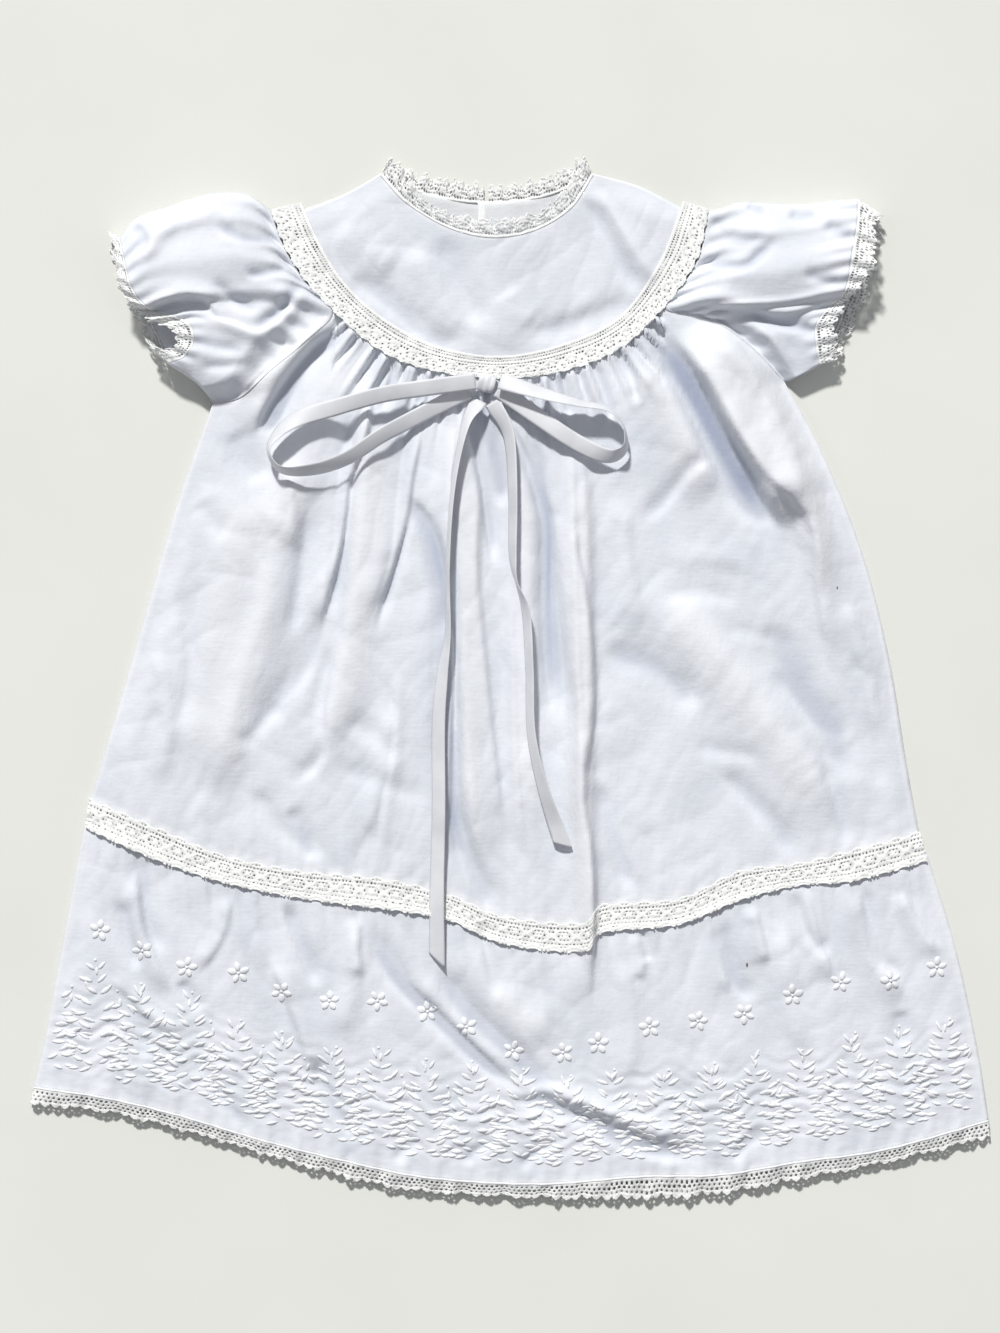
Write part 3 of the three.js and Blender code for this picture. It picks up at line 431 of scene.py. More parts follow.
def gathers(x, y):
    """Small gathers under the yoke band and under the insertion, and the puckers above the hem."""
    below_yoke, _, along = nearest(yoke_edge, x, y)
    run = along * yoke_edge_length
    skirt = y < np.interp(x, yoke_edge[:, 0], yoke_edge[:, 1], left=-999, right=-999)
    reach = 17 + 13 * np.sin(run / 9.0 + 0.6) ** 2
    ripple = waves(run, (7.3, 1.0, 1.4), (4.1, 0.5, 0.9), (12.0, 0.6, 0.5))
    height = np.where(skirt, GATHER_HEIGHT * ripple * np.exp(-((below_yoke / reach) ** 2)), 0)
    below = np.interp(x, insertion_low[:, 0], insertion_low[:, 1]) - y
    tucks = waves(x + 0.1 * y, (9.0, 0.7, 1.2), (15.0, 1.0, 0.8), (5.2, 0.4, 0.7))
    height += np.where(below > 0, LOWER_TUCK * tucks * np.exp(-np.abs(below) / 24), 0)
    above = y - np.interp(x, insertion_high[:, 0], insertion_high[:, 1])
    tucks = waves(x, (13.0, 1.0, 1.1), (6.1, 0.5, 0.8))
    height += np.where(above > 0, UPPER_TUCK * tucks * np.exp(-np.abs(above) / 16), 0)
    above_hem = y - np.interp(x, hem_line[:, 0], hem_line[:, 1])
    border = np.exp(-(((above_hem - BORDER_MIDDLE) / BORDER_REACH) ** 2))
    pucker = waves(above_hem + 3 * np.sin(x / 7.9) + 2 * np.sin(x / 3.7), (6.3, 0.5, 0.6), (9.7, 0.35, 0.5))
    height += PUCKER * pucker * border
    hem_waves = waves(x, (17.0, 1.0, 1.3), (8.3, 0.5, 0.8))
    return height + HEM_WAVE * hem_waves * np.exp(-((above_hem - 2) / 8) ** 2)


def crumple(x, y):
    """The soft unevenness of worn cotton between the folds."""
    return (0.22 * np.sin(x / 6.1 + 1.3 * np.sin(y / 11.0)) * np.sin(y / 8.3 + np.sin(x / 9.0))
            + 0.35 * np.sin(x / 14.0 - y / 23.0) * np.sin(y / 17.0 + 0.7 * np.sin(x / 21.0)))


CREASE_STRENGTH, WRINKLE_STRENGTH = 1.7, 0.75
WRINKLES = [  # height, pitch, direction in degrees, drift, patch pitches, patch shift
    (0.75, 31, 8, 1.7, (74, 96), 0.4),
    (0.60, 19, -14, 1.4, (58, 70), 2.1),
    (0.55, 25, 62, 1.9, (66, 54), 1.2),
    (0.50, 22, -58, 1.6, (60, 64), 3.3),
    (0.40, 13, 28, 1.3, (44, 52), 4.4),
    (0.34, 10, -36, 1.2, (38, 47), 5.2),
]


def wrinkles(x, y):
    """Small crossing wrinkles with rounded crests and narrow valleys, each kind in its own patches."""
    height = np.zeros(len(x))
    for amount, pitch, degrees, drift, (across, down), shift in WRINKLES:
        a = math.radians(degrees)
        u, v = x * math.cos(a) + y * math.sin(a), y * math.cos(a) - x * math.sin(a)
        drifting = drift * np.sin(v / (1.3 * pitch) + shift) + 0.8 * np.sin(v / (0.55 * pitch))
        crests = np.sqrt(np.abs(np.sin((2 * np.pi * u / pitch + drifting) / 2)) + 0.02) * 1.6 - 1
        place = np.sin(x / across * 3 + shift + np.sin(y / down * 2.3)) * np.sin(y / down * 3 - 2 * shift)
        height += amount * crests * smoothstep(place, -0.25, 0.7)
    return height


LOWEST_FRONT = 1.9  # the middle of the front cloth never goes under this, so it clears the back
LANDING = 0.6  # how softly it comes down to that height


def front_middle(x, y):
    """Height of the middle of the front cloth."""
    rise = np.maximum(LOFT + folded(x, y, FOLDS), 0) * edge_fade(x, y)
    detail = (CREASE_STRENGTH * folded(x, y, CREASES) + gathers(x, y)
              + WRINKLE_STRENGTH * wrinkles(x, y) + crumple(x, y))
    height = FRONT_BASE + WALL / 2 + rise + detail * (0.25 + 0.75 * edge_fade(x, y, 9))
    return LOWEST_FRONT + LANDING * np.logaddexp(0, (height - LOWEST_FRONT) / LANDING)


sample = front_middle(np.linspace(-150, 150, 61), np.zeros(61))
print("front across the middle, mm:", round(float(sample.min()), 1), "to", round(float(sample.max()), 1))


# %% [markdown]
# ## From a grid to a sheet
# A panel starts as a grid primitive. Its points move to the panel's places, as sculpting would, and a
# Solidify modifier gives the cloth its thickness. Where the real cloth lies doubled, at seam allowances
# and hems, sheer cotton looks whiter; a `doubled` attribute carries that to the material. It also carries a
# painted highlight on fold crests, and a `thin` attribute carries painted shade in the fold troughs.

# %% Sheet helpers
CLOTH_WALL = 0.35


def place_grid(name, places, wall, doubled=None, thin=None, closed=False, holes=None):
    """A sheet through a grid of places in millimetres, rows top to bottom."""
    rows, columns = places.shape[:2]
    bpy.ops.object.select_all(action="DESELECT")
    bpy.ops.mesh.primitive_grid_add(x_subdivisions=columns - 1, y_subdivisions=rows - 1, size=1)
    piece = bpy.context.object
    piece.name = name
    piece.data.name = name
    assert len(piece.data.vertices) == rows * columns, (name, len(piece.data.vertices))
    piece.data.vertices.foreach_set("co", (places[::-1] * MM).astype(np.float32).ravel())
    # The doubled mark carries doubled cloth and a painted highlight on crests; the thin mark carries painted
    # shade in troughs
    for mark_name, marks in (("doubled", doubled), ("thin", thin)):
        marks = np.zeros((rows, columns)) if marks is None else marks
        attribute = piece.data.attributes.new(mark_name, "FLOAT", "POINT")
        attribute.data.foreach_set("value", marks[::-1].astype(np.float32).ravel())
    bpy.ops.object.mode_set(mode="EDIT")
    bpy.ops.mesh.select_mode(type="FACE")
    if holes is not None:
        cut_holes(piece, holes)
    if closed:
        bpy.ops.mesh.select_all(action="SELECT")
        bpy.ops.mesh.remove_doubles(threshold=0.02 * MM)
        bpy.ops.mesh.normals_make_consistent(inside=False)
    bpy.ops.mesh.select_all(action="DESELECT")
    bpy.ops.object.mode_set(mode="OBJECT")
    thicken(piece, wall)
    return piece


def cut_holes(piece, holes):
    """Deletes the grid faces over a lace's holes."""
    bpy.ops.mesh.select_all(action="DESELECT")
    shape = bmesh.from_edit_mesh(piece.data)
    shape.faces.ensure_lookup_table()
    for face, hole in zip(shape.faces, holes[::-1].ravel()):
        face.select_set(bool(hole))
    bmesh.update_edit_mesh(piece.data)
    bpy.ops.mesh.delete(type="FACE")


def thicken(piece, wall):
    solid = piece.modifiers.new("cloth_thickness", "SOLIDIFY")
    solid.thickness = wall * MM
    solid.offset = 0
    solid.use_even_offset = False
    bpy.context.view_layer.objects.active = piece
    bpy.ops.object.modifier_apply(modifier=solid.name)
    bpy.ops.object.shade_smooth()


def finish_piece(piece, material, node):
    """Gives a piece its material, hangs it on the root body and hides the CAD node it stands for."""
    piece.data.materials.clear()
    piece.data.materials.append(material)
    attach(piece, "root")
    if node:
        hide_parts(node)
    triangles = sum(len(p.vertices) - 2 for p in piece.data.polygons)
    area = sum(p.area for p in piece.data.polygons) / 2
    print(f"{piece.name}: {triangles} triangles, area {area:.4f} m2 a side")
    return piece


# Whiteness at seams is doubled cloth; whiteness on pleat crests is partly doubled cloth and partly a painted
# highlight
SEAM_WHITENESS, PLEAT_DOUBLING_AND_HIGHLIGHT = 0.5, 0.4
TROUGH_SHEER_AND_SHADE, HOLLOW_SHEER_AND_SHADOW = 0.45, 0.55  # painted shade in a trough and painted shadow in the deepest hollows, partly the blue of thin sheer cloth


def near_seams(grid, rows):
    """1 within a strip beside each named seam, 0 elsewhere. Rows are a seam and a strip's width."""
    x, y = grid[..., 0].ravel(), grid[..., 1].ravel()
    mark = np.zeros(len(x))
    for name, width in rows:
        mark = np.maximum(mark, 1 - smoothstep(nearest(seam(name, 40), x, y)[0], width, width + 1.6))
    return SEAM_WHITENESS * mark.reshape(grid.shape[:2])


def cloth_layers_and_fold_light(grid, rows, creases):
    """Doubled cloth at seams; on the folds, a painted highlight on crests and painted shade in the troughs
    where it hangs thin.
    """
    x, y = grid[..., 0].ravel(), grid[..., 1].ravel()
    fold = (folded(x, y, FOLDS) + folded(x, y, creases)).reshape(grid.shape[:2])
    # Painted light from the fold heights: a painted highlight on crests, painted shade in troughs, painted
    # shadow in the deepest hollows
    double_and_highlight = np.maximum(near_seams(grid, rows), PLEAT_DOUBLING_AND_HIGHLIGHT * smoothstep(fold, 0.6, 4.5))
    return double_and_highlight, TROUGH_SHEER_AND_SHADE * smoothstep(-fold, 0.4, 4.0) + HOLLOW_SHEER_AND_SHADOW * smoothstep(-fold, 4.0, 9.0)


def lifted(grid, height):
    """The grid with its heights, from a function of x and y."""
    return np.dstack([grid[..., :2], over_grid(height, grid[..., 0], grid[..., 1])])


# %% [markdown]
# ## Materials
# Batiste is a fine plain weave: almost matt, and whiter where it lies doubled. On its folds the colour holds
# painted light: a painted highlight on the crests, and bluish painted shade in the troughs where it hangs
# thin.
# The weave is bump from two crossed bands, half a millimetre apart, in the piece's own coordinates.
# Lace is thicker cotton thread of a warmer white. Satin ribbon is smoother, with a soft sheen.

# %% Material helpers


def new_material(name, roughness, sheen=0.0):
    material = bpy.data.materials.new(name)
    material.use_nodes = True
    nodes, links = material.node_tree.nodes, material.node_tree.links
    shader = nodes["Principled BSDF"]
    shader.inputs["Roughness"].default_value = roughness
    shader.inputs["Sheen Weight"].default_value = sheen
    coordinates = nodes.new("ShaderNodeTexCoord")
    return material, nodes, links, shader, coordinates


def noise(nodes, links, coordinates, scale, detail=2.0, stretch=(1, 1, 1)):
    mapping = nodes.new("ShaderNodeMapping")
    mapping.inputs["Scale"].default_value = stretch
    links.new(coordinates.outputs["Object"], mapping.inputs["Vector"])
    texture = nodes.new("ShaderNodeTexNoise")
    texture.inputs["Scale"].default_value = scale
    texture.inputs["Detail"].default_value = detail
    links.new(mapping.outputs["Vector"], texture.inputs["Vector"])
    return texture.outputs["Fac"]


def ramp(nodes, links, value, low, high, start=0.35, end=0.65):
    colours = nodes.new("ShaderNodeValToRGB")
    colours.color_ramp.elements[0].position = start
    colours.color_ramp.elements[1].position = end
    colours.color_ramp.elements[0].color = (*low, 1)
    colours.color_ramp.elements[1].color = (*high, 1)
    links.new(value, colours.inputs["Fac"])
    return colours.outputs["Color"]


def bands(nodes, links, coordinates, direction, pitch_mm):
    """Bands across one direction, `pitch_mm` apart."""
    wave = nodes.new("ShaderNodeTexWave")
    wave.bands_direction = direction
    wave.inputs["Scale"].default_value = 2 * math.pi / (20 * pitch_mm * MM)
    wave.inputs["Distortion"].default_value = 0.6
    wave.inputs["Detail"].default_value = 0
    links.new(coordinates.outputs["Object"], wave.inputs["Vector"])
    return wave.outputs["Fac"]


def bump(nodes, links, shader, rows):
    """A chain of bumps. Rows are a height, a strength and a depth in millimetres."""
    last = None
    for height, strength, depth in rows:
        node = nodes.new("ShaderNodeBump")
        node.inputs["Strength"].default_value = strength
        node.inputs["Distance"].default_value = depth * MM
        links.new(height, node.inputs["Height"])
        if last:
            links.new(last, node.inputs["Normal"])
        last = node.outputs["Normal"]
    links.new(last, shader.inputs["Normal"])


def tinted(nodes, links, colour, share, tone):
    """A colour with another laid over it by a share."""
    mix = nodes.new("ShaderNodeMix")
    mix.data_type = "RGBA"
    mix.inputs["B"].default_value = (*tone, 1)
    links.new(share, mix.inputs["Factor"])
    links.new(colour, mix.inputs["A"])
    return mix.outputs["Result"]


def marked(nodes, name):
    """The mark that a sheet carries at each of its points."""
    mark = nodes.new("ShaderNodeAttribute")
    mark.attribute_name = name
    return mark.outputs["Fac"]


# %% Batiste
LINT = [(128.5, -154.7, 0.55), (177, 48.9, 0.4)]  # x, y and size of two bits of dark lint
LINT_LENGTH = 0.45  # how much a bit of lint is squeezed along Y
LINT_TONE = (0.14, 0.13, 0.13)


def lint_at(nodes, links, coordinates, x, y, reach):
    """1 on a small oval spot, 0 elsewhere."""
    flat = nodes.new("ShaderNodeMapping")
    flat.inputs["Scale"].default_value = (1, LINT_LENGTH, 0)
    links.new(coordinates.outputs["Object"], flat.inputs["Vector"])
    away = nodes.new("ShaderNodeVectorMath")
    away.operation = "DISTANCE"
    away.inputs[1].default_value = (x * MM, y * LINT_LENGTH * MM, 0)
    links.new(flat.outputs["Vector"], away.inputs[0])
    near = nodes.new("ShaderNodeMath")
    near.operation = "LESS_THAN"
    near.inputs[1].default_value = reach * MM
    links.new(away.outputs["Value"], near.inputs[0])
    return near.outputs["Value"]


def make_batiste(name, shade, tint, double_and_highlight, sheer_and_shade_tone=(0.34, 0.375, 0.48)):
    material, nodes, links, shader, at = new_material(name, 0.88, 0.1)
    colour = ramp(nodes, links, noise(nodes, links, at, 34, 3, (1, 0.55, 1)), shade, tint)
    # The thin mark lays in painted shade, partly the blue of thin sheer cloth; the doubled mark lays in
    # doubled seams and a painted highlight on fold crests
    for mark_name, tone in (("thin", sheer_and_shade_tone), ("doubled", double_and_highlight)):
        colour = tinted(nodes, links, colour, marked(nodes, mark_name), tone)
    for spot in LINT:
        colour = tinted(nodes, links, colour, lint_at(nodes, links, at, *spot), LINT_TONE)
    links.new(colour, shader.inputs["Base Color"])
    bump(nodes, links, shader, [
        (noise(nodes, links, at, 48, 5, (1, 0.55, 1)), 0.5, 2.2),
        (noise(nodes, links, at, 120, 4, (1, 0.7, 1)), 0.5, 1.0),
        (noise(nodes, links, at, 420, 2, (1, 0.25, 1)), 0.4, 0.3),
        (noise(nodes, links, at, 600, 2, (0.2, 1, 1)), 0.4, 0.3),
        (bands(nodes, links, at, "X", 0.5), 0.25, 0.08),
        (bands(nodes, links, at, "Y", 0.5), 0.25, 0.08)])
    return material


batiste = make_batiste(
    "white_batiste", (0.655, 0.678, 0.73), (0.73, 0.75, 0.795), (0.80, 0.808, 0.83))
batiste_under = make_batiste(
    "white_batiste_back", (0.63, 0.64, 0.66), (0.69, 0.70, 0.72), (0.84, 0.842, 0.845))

# %% Lace, thread, ribbon and table


def make_thread():
    """Satin stitch, its threads side by side and a little smoother than the cloth."""
    material, nodes, links, shader, at = new_material("satin_stitch", 0.6, 0.1)
    colour = ramp(nodes, links, noise(nodes, links, at, 90, 3), (0.76, 0.77, 0.79), (0.82, 0.83, 0.845))
    links.new(colour, shader.inputs["Base Color"])
    bump(nodes, links, shader, [(noise(nodes, links, at, 1800, 2, (1, 0.2, 1)), 0.5, 0.25)])
    return material


def make_lace(name, ground, motif):
    """Lace: its fine net is greyer than the close-worked motifs, which `doubled` marks."""
    material, nodes, links, shader, at = new_material(name, 0.9, 0.1)
    links.new(ramp(nodes, links, marked(nodes, "doubled"), ground, motif, 0, 1), shader.inputs["Base Color"])
    bump(nodes, links, shader, [
        (noise(nodes, links, at, 1300, 2), 0.6, 0.3),
        (noise(nodes, links, at, 500, 2), 0.4, 0.4)])
    return material


lace_cotton = make_lace("ivory_lace", (0.76, 0.76, 0.75), (0.90, 0.895, 0.875))
neck_cotton = make_lace("white_net_lace", (0.78, 0.78, 0.775), (0.90, 0.90, 0.89))
satin_thread = make_thread()


def make_ribbon():
    material, nodes, links, shader, at = new_material("satin_ribbon", 0.55, 0.1)
    colour = ramp(nodes, links, noise(nodes, links, at, 60, 2), (0.62, 0.632, 0.66), (0.69, 0.70, 0.725))
    links.new(colour, shader.inputs["Base Color"])
    bump(nodes, links, shader, [
        (noise(nodes, links, at, 900, 2, (0.3, 1, 1)), 0.2, 0.1),
        (noise(nodes, links, at, 130, 2), 0.25, 0.5)])
    return material


ribbon_satin = make_ribbon()


def make_table():
    material, nodes, links, shader, at = new_material("pale_table", 0.95)
    shader.inputs["Specular IOR Level"].default_value = 0.12
    colour = ramp(nodes, links, noise(nodes, links, at, 9, 3), (0.725, 0.73, 0.685), (0.745, 0.75, 0.705))
    links.new(colour, shader.inputs["Base Color"])
    bump(nodes, links, shader, [(noise(nodes, links, at, 800, 2), 0.1, 0.1)])
    return material


floor.data.materials.append(make_table())
print("materials:", len(bpy.data.materials))

# %% [markdown]
# ## The body panels
# Front and back are the same cut. The front lies on the back and carries all the folds; the back is
# pressed flat by it. Each cloth panel runs a few millimetres under the lace that covers its seam.

# %% Body lines
YOKE_COLUMNS, SKIRT_COLUMNS, SKIRT_ROWS = 136, 278, 150
FLOUNCE_COLUMNS, FLOUNCE_ROWS, YOKE_ROWS = 308, 94, 64
SEAM_TUCK = 4  # how far a panel runs under the lace


def moved(line, dx=0.0, dy=0.0):
    return line + np.array([dx, dy])


def body_top(count):
    """The skirt's top edge: left armhole, yoke edge, right armhole."""
    places = [*SEAMS["armholeLeft"][::-1], *SEAMS["yokeLower"][1:], *SEAMS["armholeRight"][1:]]
    return smooth_line(places, count)


def yoke_outer(count):
    places = [*SEAMS["capLeft"], *SEAMS["yokeLower"][1:], *SEAMS["capRight"][1:]]
    return smooth_line(places, count)


# %% Skirt
def skirt_grid(columns, rows):
    """The columns stand closest where the pleats are sharpest."""
    shares = crowded(columns, 0.42, 0.2, 1.0)
    top = picked(body_top(600), shares)
    under_yoke = (top[:, 0] > -92) & (top[:, 0] < 80)
    top = np.where(under_yoke[:, None], top + (0, SEAM_TUCK), top)
    return patch(top, moved(picked(seam("insertionTop", 600), shares), dy=-SEAM_TUCK),
                 seam("sideLeft", rows), seam("sideRight", rows), shares)


grid = skirt_grid(SKIRT_COLUMNS, SKIRT_ROWS)
seam_widths = [("sideLeft", 2.5), ("sideRight", 2.5), ("armholeLeft", 2), ("armholeRight", 2),
               ("insertionTop", 1.5)]
# marks: doubled seams, a painted highlight on fold crests and painted shade in the troughs
marks = cloth_layers_and_fold_light(grid, seam_widths, CREASES)
front_skirt = place_grid("front_skirt", lifted(grid, front_middle), CLOTH_WALL, *marks)
finish_piece(front_skirt, batiste, "skirt_front")

BACK_HEIGHT = 0.7


def flat_height(x, y):
    return BACK_HEIGHT + 0.12 * np.sin(x / 19) * np.sin(y / 23)


grid = skirt_grid(90, 60)
marks = near_seams(grid, [("sideLeft", 5), ("sideRight", 5)])
back_skirt = place_grid("back_skirt", lifted(grid, flat_height), CLOTH_WALL, marks)
finish_piece(back_skirt, batiste_under, "skirt_back")


# %% Flounce
def flounce_grid(columns, rows):
    return patch(moved(seam("insertionBottom", columns), dy=SEAM_TUCK), seam("hem", columns),
                 seam("flounceLeft", rows), seam("flounceRight", rows))


grid = flounce_grid(FLOUNCE_COLUMNS, FLOUNCE_ROWS)
# marks: doubled seams, a painted highlight on fold crests and painted shade in the troughs
marks = cloth_layers_and_fold_light(grid, [("flounceLeft", 2), ("flounceRight", 2), ("hem", 2)], CREASES)
front_flounce = place_grid("front_flounce", lifted(grid, front_middle), CLOTH_WALL, *marks)
finish_piece(front_flounce, batiste, "flounce_front")
grid = flounce_grid(110, 36)
marks = near_seams(grid, [("hem", 3)])
back_flounce = place_grid("back_flounce", lifted(grid, flat_height), CLOTH_WALL, marks)
finish_piece(back_flounce, batiste_under, "flounce_back")


# %% Yoke, and its back cut down the centre with the right half lapped over the left
def yoke_grid(neck, columns, rows):
    return patch(seam(neck, columns), moved(seam("yokeInner", columns), dy=-SEAM_TUCK),
                 seam("shoulderLeft", rows), seam("shoulderRight", rows))


grid = yoke_grid("neckFront", YOKE_COLUMNS, YOKE_ROWS)
# marks: doubled seams, a painted highlight on fold crests and painted shade in the troughs
marks = cloth_layers_and_fold_light(grid, [("neckFront", 1.8), ("shoulderLeft", 2), ("shoulderRight", 2)], CREASES)
front_yoke = place_grid("front_yoke", lifted(grid, front_middle), CLOTH_WALL, *marks)
finish_piece(front_yoke, batiste, "yoke_front")

BACK_YOKE_COLUMNS, BACK_YOKE_ROWS, LAP_COLUMNS = 120, 40, 5
LAP_LIFT = 1.0  # of the right half over the left


def half_height(base):
    """Height of half of the back yoke: a lap at the centre and a soft wave at the neck."""
    def height(x, y):
        lap = 1 - smoothstep(x, 0, 9)
        return flat_height(x, y) + base * lap + 0.5 * np.sin(x / 7 + 1) * smoothstep(y, 240, 262)
    return height


def back_yoke_half(name, node, part, opening, base):
    """One half, doubled along the neck and along its edge of the centre-back opening."""
    facing = 1 - smoothstep(np.abs(part[..., 0] - opening), 3.5, 4.5)
    marks = np.maximum(near_seams(part, [("neckBack", 2.4)]), facing)
    half = place_grid(name, lifted(part, half_height(base)), CLOTH_WALL, marks)
    return finish_piece(half, batiste_under, node)


grid = yoke_grid("neckBack", BACK_YOKE_COLUMNS, BACK_YOKE_ROWS)
centre = BACK_YOKE_COLUMNS // 2
left, right = grid[:, :centre + 1], grid[:, centre - LAP_COLUMNS:]
back_yoke_left = back_yoke_half("back_yoke_left", "yoke_back_left", left, left[:, -1:, 0], 0.0)
back_yoke_right = back_yoke_half("back_yoke_right", "yoke_back_right", right, right[:, :1, 0], LAP_LIFT)

# %% [markdown]
# ## The sleeves
# Each sleeve is a short puffed tube, gathered at the armhole and again at the cuff. One grid runs over
# the front from the top edge to the underarm and back beneath, and its two ends are merged.

# %% Sleeve tables
PUFFS = {  # share across from the top edge, height halfway along, height at the cuff
    "Left": [(0, 4, 4), (0.12, 13, 11), (0.27, 17, 17), (0.42, 15, 15.5), (0.49, 11, 6), (0.6, 12, 10),
             (0.8, 12, 13), (1, 9, 12)],
    "Right": [(0, 4, 4), (0.15, 12, 11), (0.35, 17, 16), (0.52, 14, 14), (0.6, 9, 7), (0.75, 8, 9),
              (0.88, 6, 9), (1, 6, 7)],
}
SLEEVE_CREASES = [
    # left sleeve
    (-3.0, 4, 4, [(-204, 226), (-198, 228), (-197, 238), (-203, 247)]),
    (2.0, 2, 4, [(-199, 248), (-193, 239), (-194, 231), (-202, 222)]),
    (-3.0, 2.5, 4, [(-159, 245), (-145, 237), (-121, 236)]),
    (-3.0, 2.5, 3.5, [(-143, 218), (-134, 217), (-118, 222)]),
    (-2.4, 3, 4, [(-159, 216), (-153, 208), (-144, 201), (-133, 198)]),
    (3.0, 4, 5, [(-172, 256), (-186, 240), (-204, 218)]),
    (-3.6, 3, 3, [(-111, 215), (-126, 196), (-140, 188)]),
    (3.6, 1.8, 6, [(-199, 202), (-186, 204), (-175, 207), (-166, 206), (-158, 199), (-153, 190)]),
    (2.8, 4, 2, [(-171, 196), (-150, 190), (-134, 185), (-125, 190), (-115, 201), (-108, 212)]),
    (2.6, 3, 5, [(-95, 198), (-110, 180), (-133, 162), (-145, 150)]),
    (-2.0, 3, 4, [(-176, 182), (-156, 178), (-140, 176)]),
    (-1.6, 3, 3, [(-168, 168), (-152, 168), (-138, 170)]),
    (1.6, 3, 4, [(-150, 256), (-164, 250), (-180, 244)]),
    # right sleeve
    (-2.4, 3, 4, [(127, 256), (134, 252), (139, 250)]),
    (-2.6, 3, 4, [(149, 250), (158, 248), (167, 249)]),
    (-3.2, 3, 3, [(103, 225), (127, 222), (136, 229), (144, 236)]),
    (-2.8, 4, 4, [(168, 245), (178, 240), (187, 236)]),
    (-2.4, 3, 4, [(157, 218), (168, 214), (180, 213)]),
    (3.4, 1.8, 5, [(90, 204), (125, 200), (146, 197), (158, 199), (180, 206)]),
    (-3.6, 3, 4, [(125, 196), (142, 192), (165, 188)]),
    (2.6, 3, 4, [(86, 200), (103, 198), (125, 191), (141, 183), (149, 172), (156, 165)]),
    (-1.8, 3, 3, [(158, 192), (163, 186), (166, 180)]),
    (1.8, 3, 4, [(112, 244), (128, 240), (150, 238)]),
    (-1.6, 3, 4, [(112, 236), (126, 234), (140, 240)]),
]
PUFF_START, UNDERARM_LIFT = 0.35, 9
SEWN_LIFT = 0.4  # of a sleeve over the skirt and the yoke, where it is sewn on
SEWN_SHARE = 0.06  # of its length over which it leaves their height


def sleeve_height(side, x, y, along, share):
    rows = np.array(PUFFS[side], float)
    k = np.clip(np.searchsorted(rows[:, 0], share) - 1, 0, len(rows) - 2)
    t = smoothstep((share - rows[k, 0]) / (rows[k + 1, 0] - rows[k, 0]), 0, 1)
    middle, cuff = (rows[k, c] + (rows[k + 1, c] - rows[k, c]) * t for c in (1, 2))
    puff = smoothstep(along, 0, PUFF_START) * (middle + (cuff - middle) * smoothstep(along, 0.5, 1))
    base = FRONT_BASE + WALL + np.maximum(LOFT + folded(x, y, FOLDS), 0) * edge_fade(x, y)
    at_armhole = 1.7 * (1 - 0.7 * smoothstep(share, 0.55, 0.8)) * np.exp(-((along / 0.22) ** 2))
    at_cuff = 0.8 * np.exp(-(((1 - along) / 0.16) ** 2))
    small = waves(share, (0.083, 1.0, 0.02), (0.137, 0.7, 0.03)) * (at_armhole + at_cuff)
    creases = folded(x, y, SLEEVE_CREASES, 0.3) * smoothstep(along, 0, 0.08)
    own = base + puff + creases + small - 0.4
    seat = front_middle(x, y) + SEWN_LIFT
    return seat + (own - seat) * smoothstep(along, 0, SEWN_SHARE)


UNDER_SLEEVE = 0.4  # height of the cloth that lies on the table
ROUND_SHARE = 0.05  # of the way across over which a tube's two edges are round


def sleeve_ring(side, front, back, along):
    """Rings of a sleeve from lines over the front and beneath. `along` has one value a row."""
    rows, count = front.shape[:2]
    share = np.tile(np.linspace(0, 1, count), (rows, 1))
    along = np.tile(np.asarray(along, float)[:, None], (1, count))
    height = lambda *flat: sleeve_height(side, *flat)
    z_front = over_grid(height, front[..., 0], front[..., 1], along, share)
    z_back = UNDER_SLEEVE + UNDERARM_LIFT * smoothstep(share, 0.84, 1) * smoothstep(along, 0, PUFF_START)
    z_edge = 0.45 * z_front + 0.55 * z_back
    inward = np.clip(np.minimum(share, 1 - share) / ROUND_SHARE, 0, 1)
    round_off = np.sqrt(np.clip(1 - (1 - inward) ** 2, 0, 1))
    z_front = z_edge + (z_front - z_edge) * round_off
    z_back = z_edge + (z_back - z_edge) * round_off
    above, beneath = np.dstack([front, z_front]), np.dstack([back, z_back])
    return np.concatenate([above, beneath[:, ::-1][:, 1:]], axis=1)


# %% Sleeves
SLEEVE_COLUMNS, SLEEVE_ROWS = 98, 72
SHEETS = ("Front", "Back")
cuffs, sleeves = {}, []
for side in ("Left", "Right"):
    cap = SEAMS["capLeft"] if side == "Left" else SEAMS["capRight"][::-1]
    armhole = smooth_line([*cap, *SEAMS[f"armhole{side}"][1:]], SLEEVE_COLUMNS)
    top, under = seam(f"sleeveTop{side}", SLEEVE_ROWS), seam(f"sleeveUnder{side}", SLEEVE_ROWS)
    cuffs[side] = [seam(f"cuff{sheet}{side}", SLEEVE_COLUMNS) for sheet in SHEETS]
    front, back = (patch(armhole, cuff, top, under) for cuff in cuffs[side])
    ring = sleeve_ring(side, front, back, np.linspace(0, 1, SLEEVE_ROWS + 1))
    # a painted highlight on the sleeve's crease crests and painted shade in its troughs
    double_and_highlight, thin = cloth_layers_and_fold_light(ring, [], SLEEVE_CREASES)
    sleeve = place_grid(f"puff_sleeve_{side.lower()}", ring, CLOTH_WALL, double_and_highlight, thin, closed=True)
    sleeves.append(finish_piece(sleeve, batiste, f"sleeve_{side.lower()}"))

# %% [markdown]
# ## Lace
# A lace is thread and holes. Each strip is a fine grid, and a pattern in its own coordinates, along and
# across, says how far inside a thread a point is. Points near a thread's edge slide onto it, faces over
# the holes are deleted, and the grid is bent into the strip's place on the gown. The patterns are made
# from plain parts: cords, rings, petals, picots and a ground of small holes.

# %% Thread patterns


def cord_at(t, at, half):
    return half - np.abs(t - at)


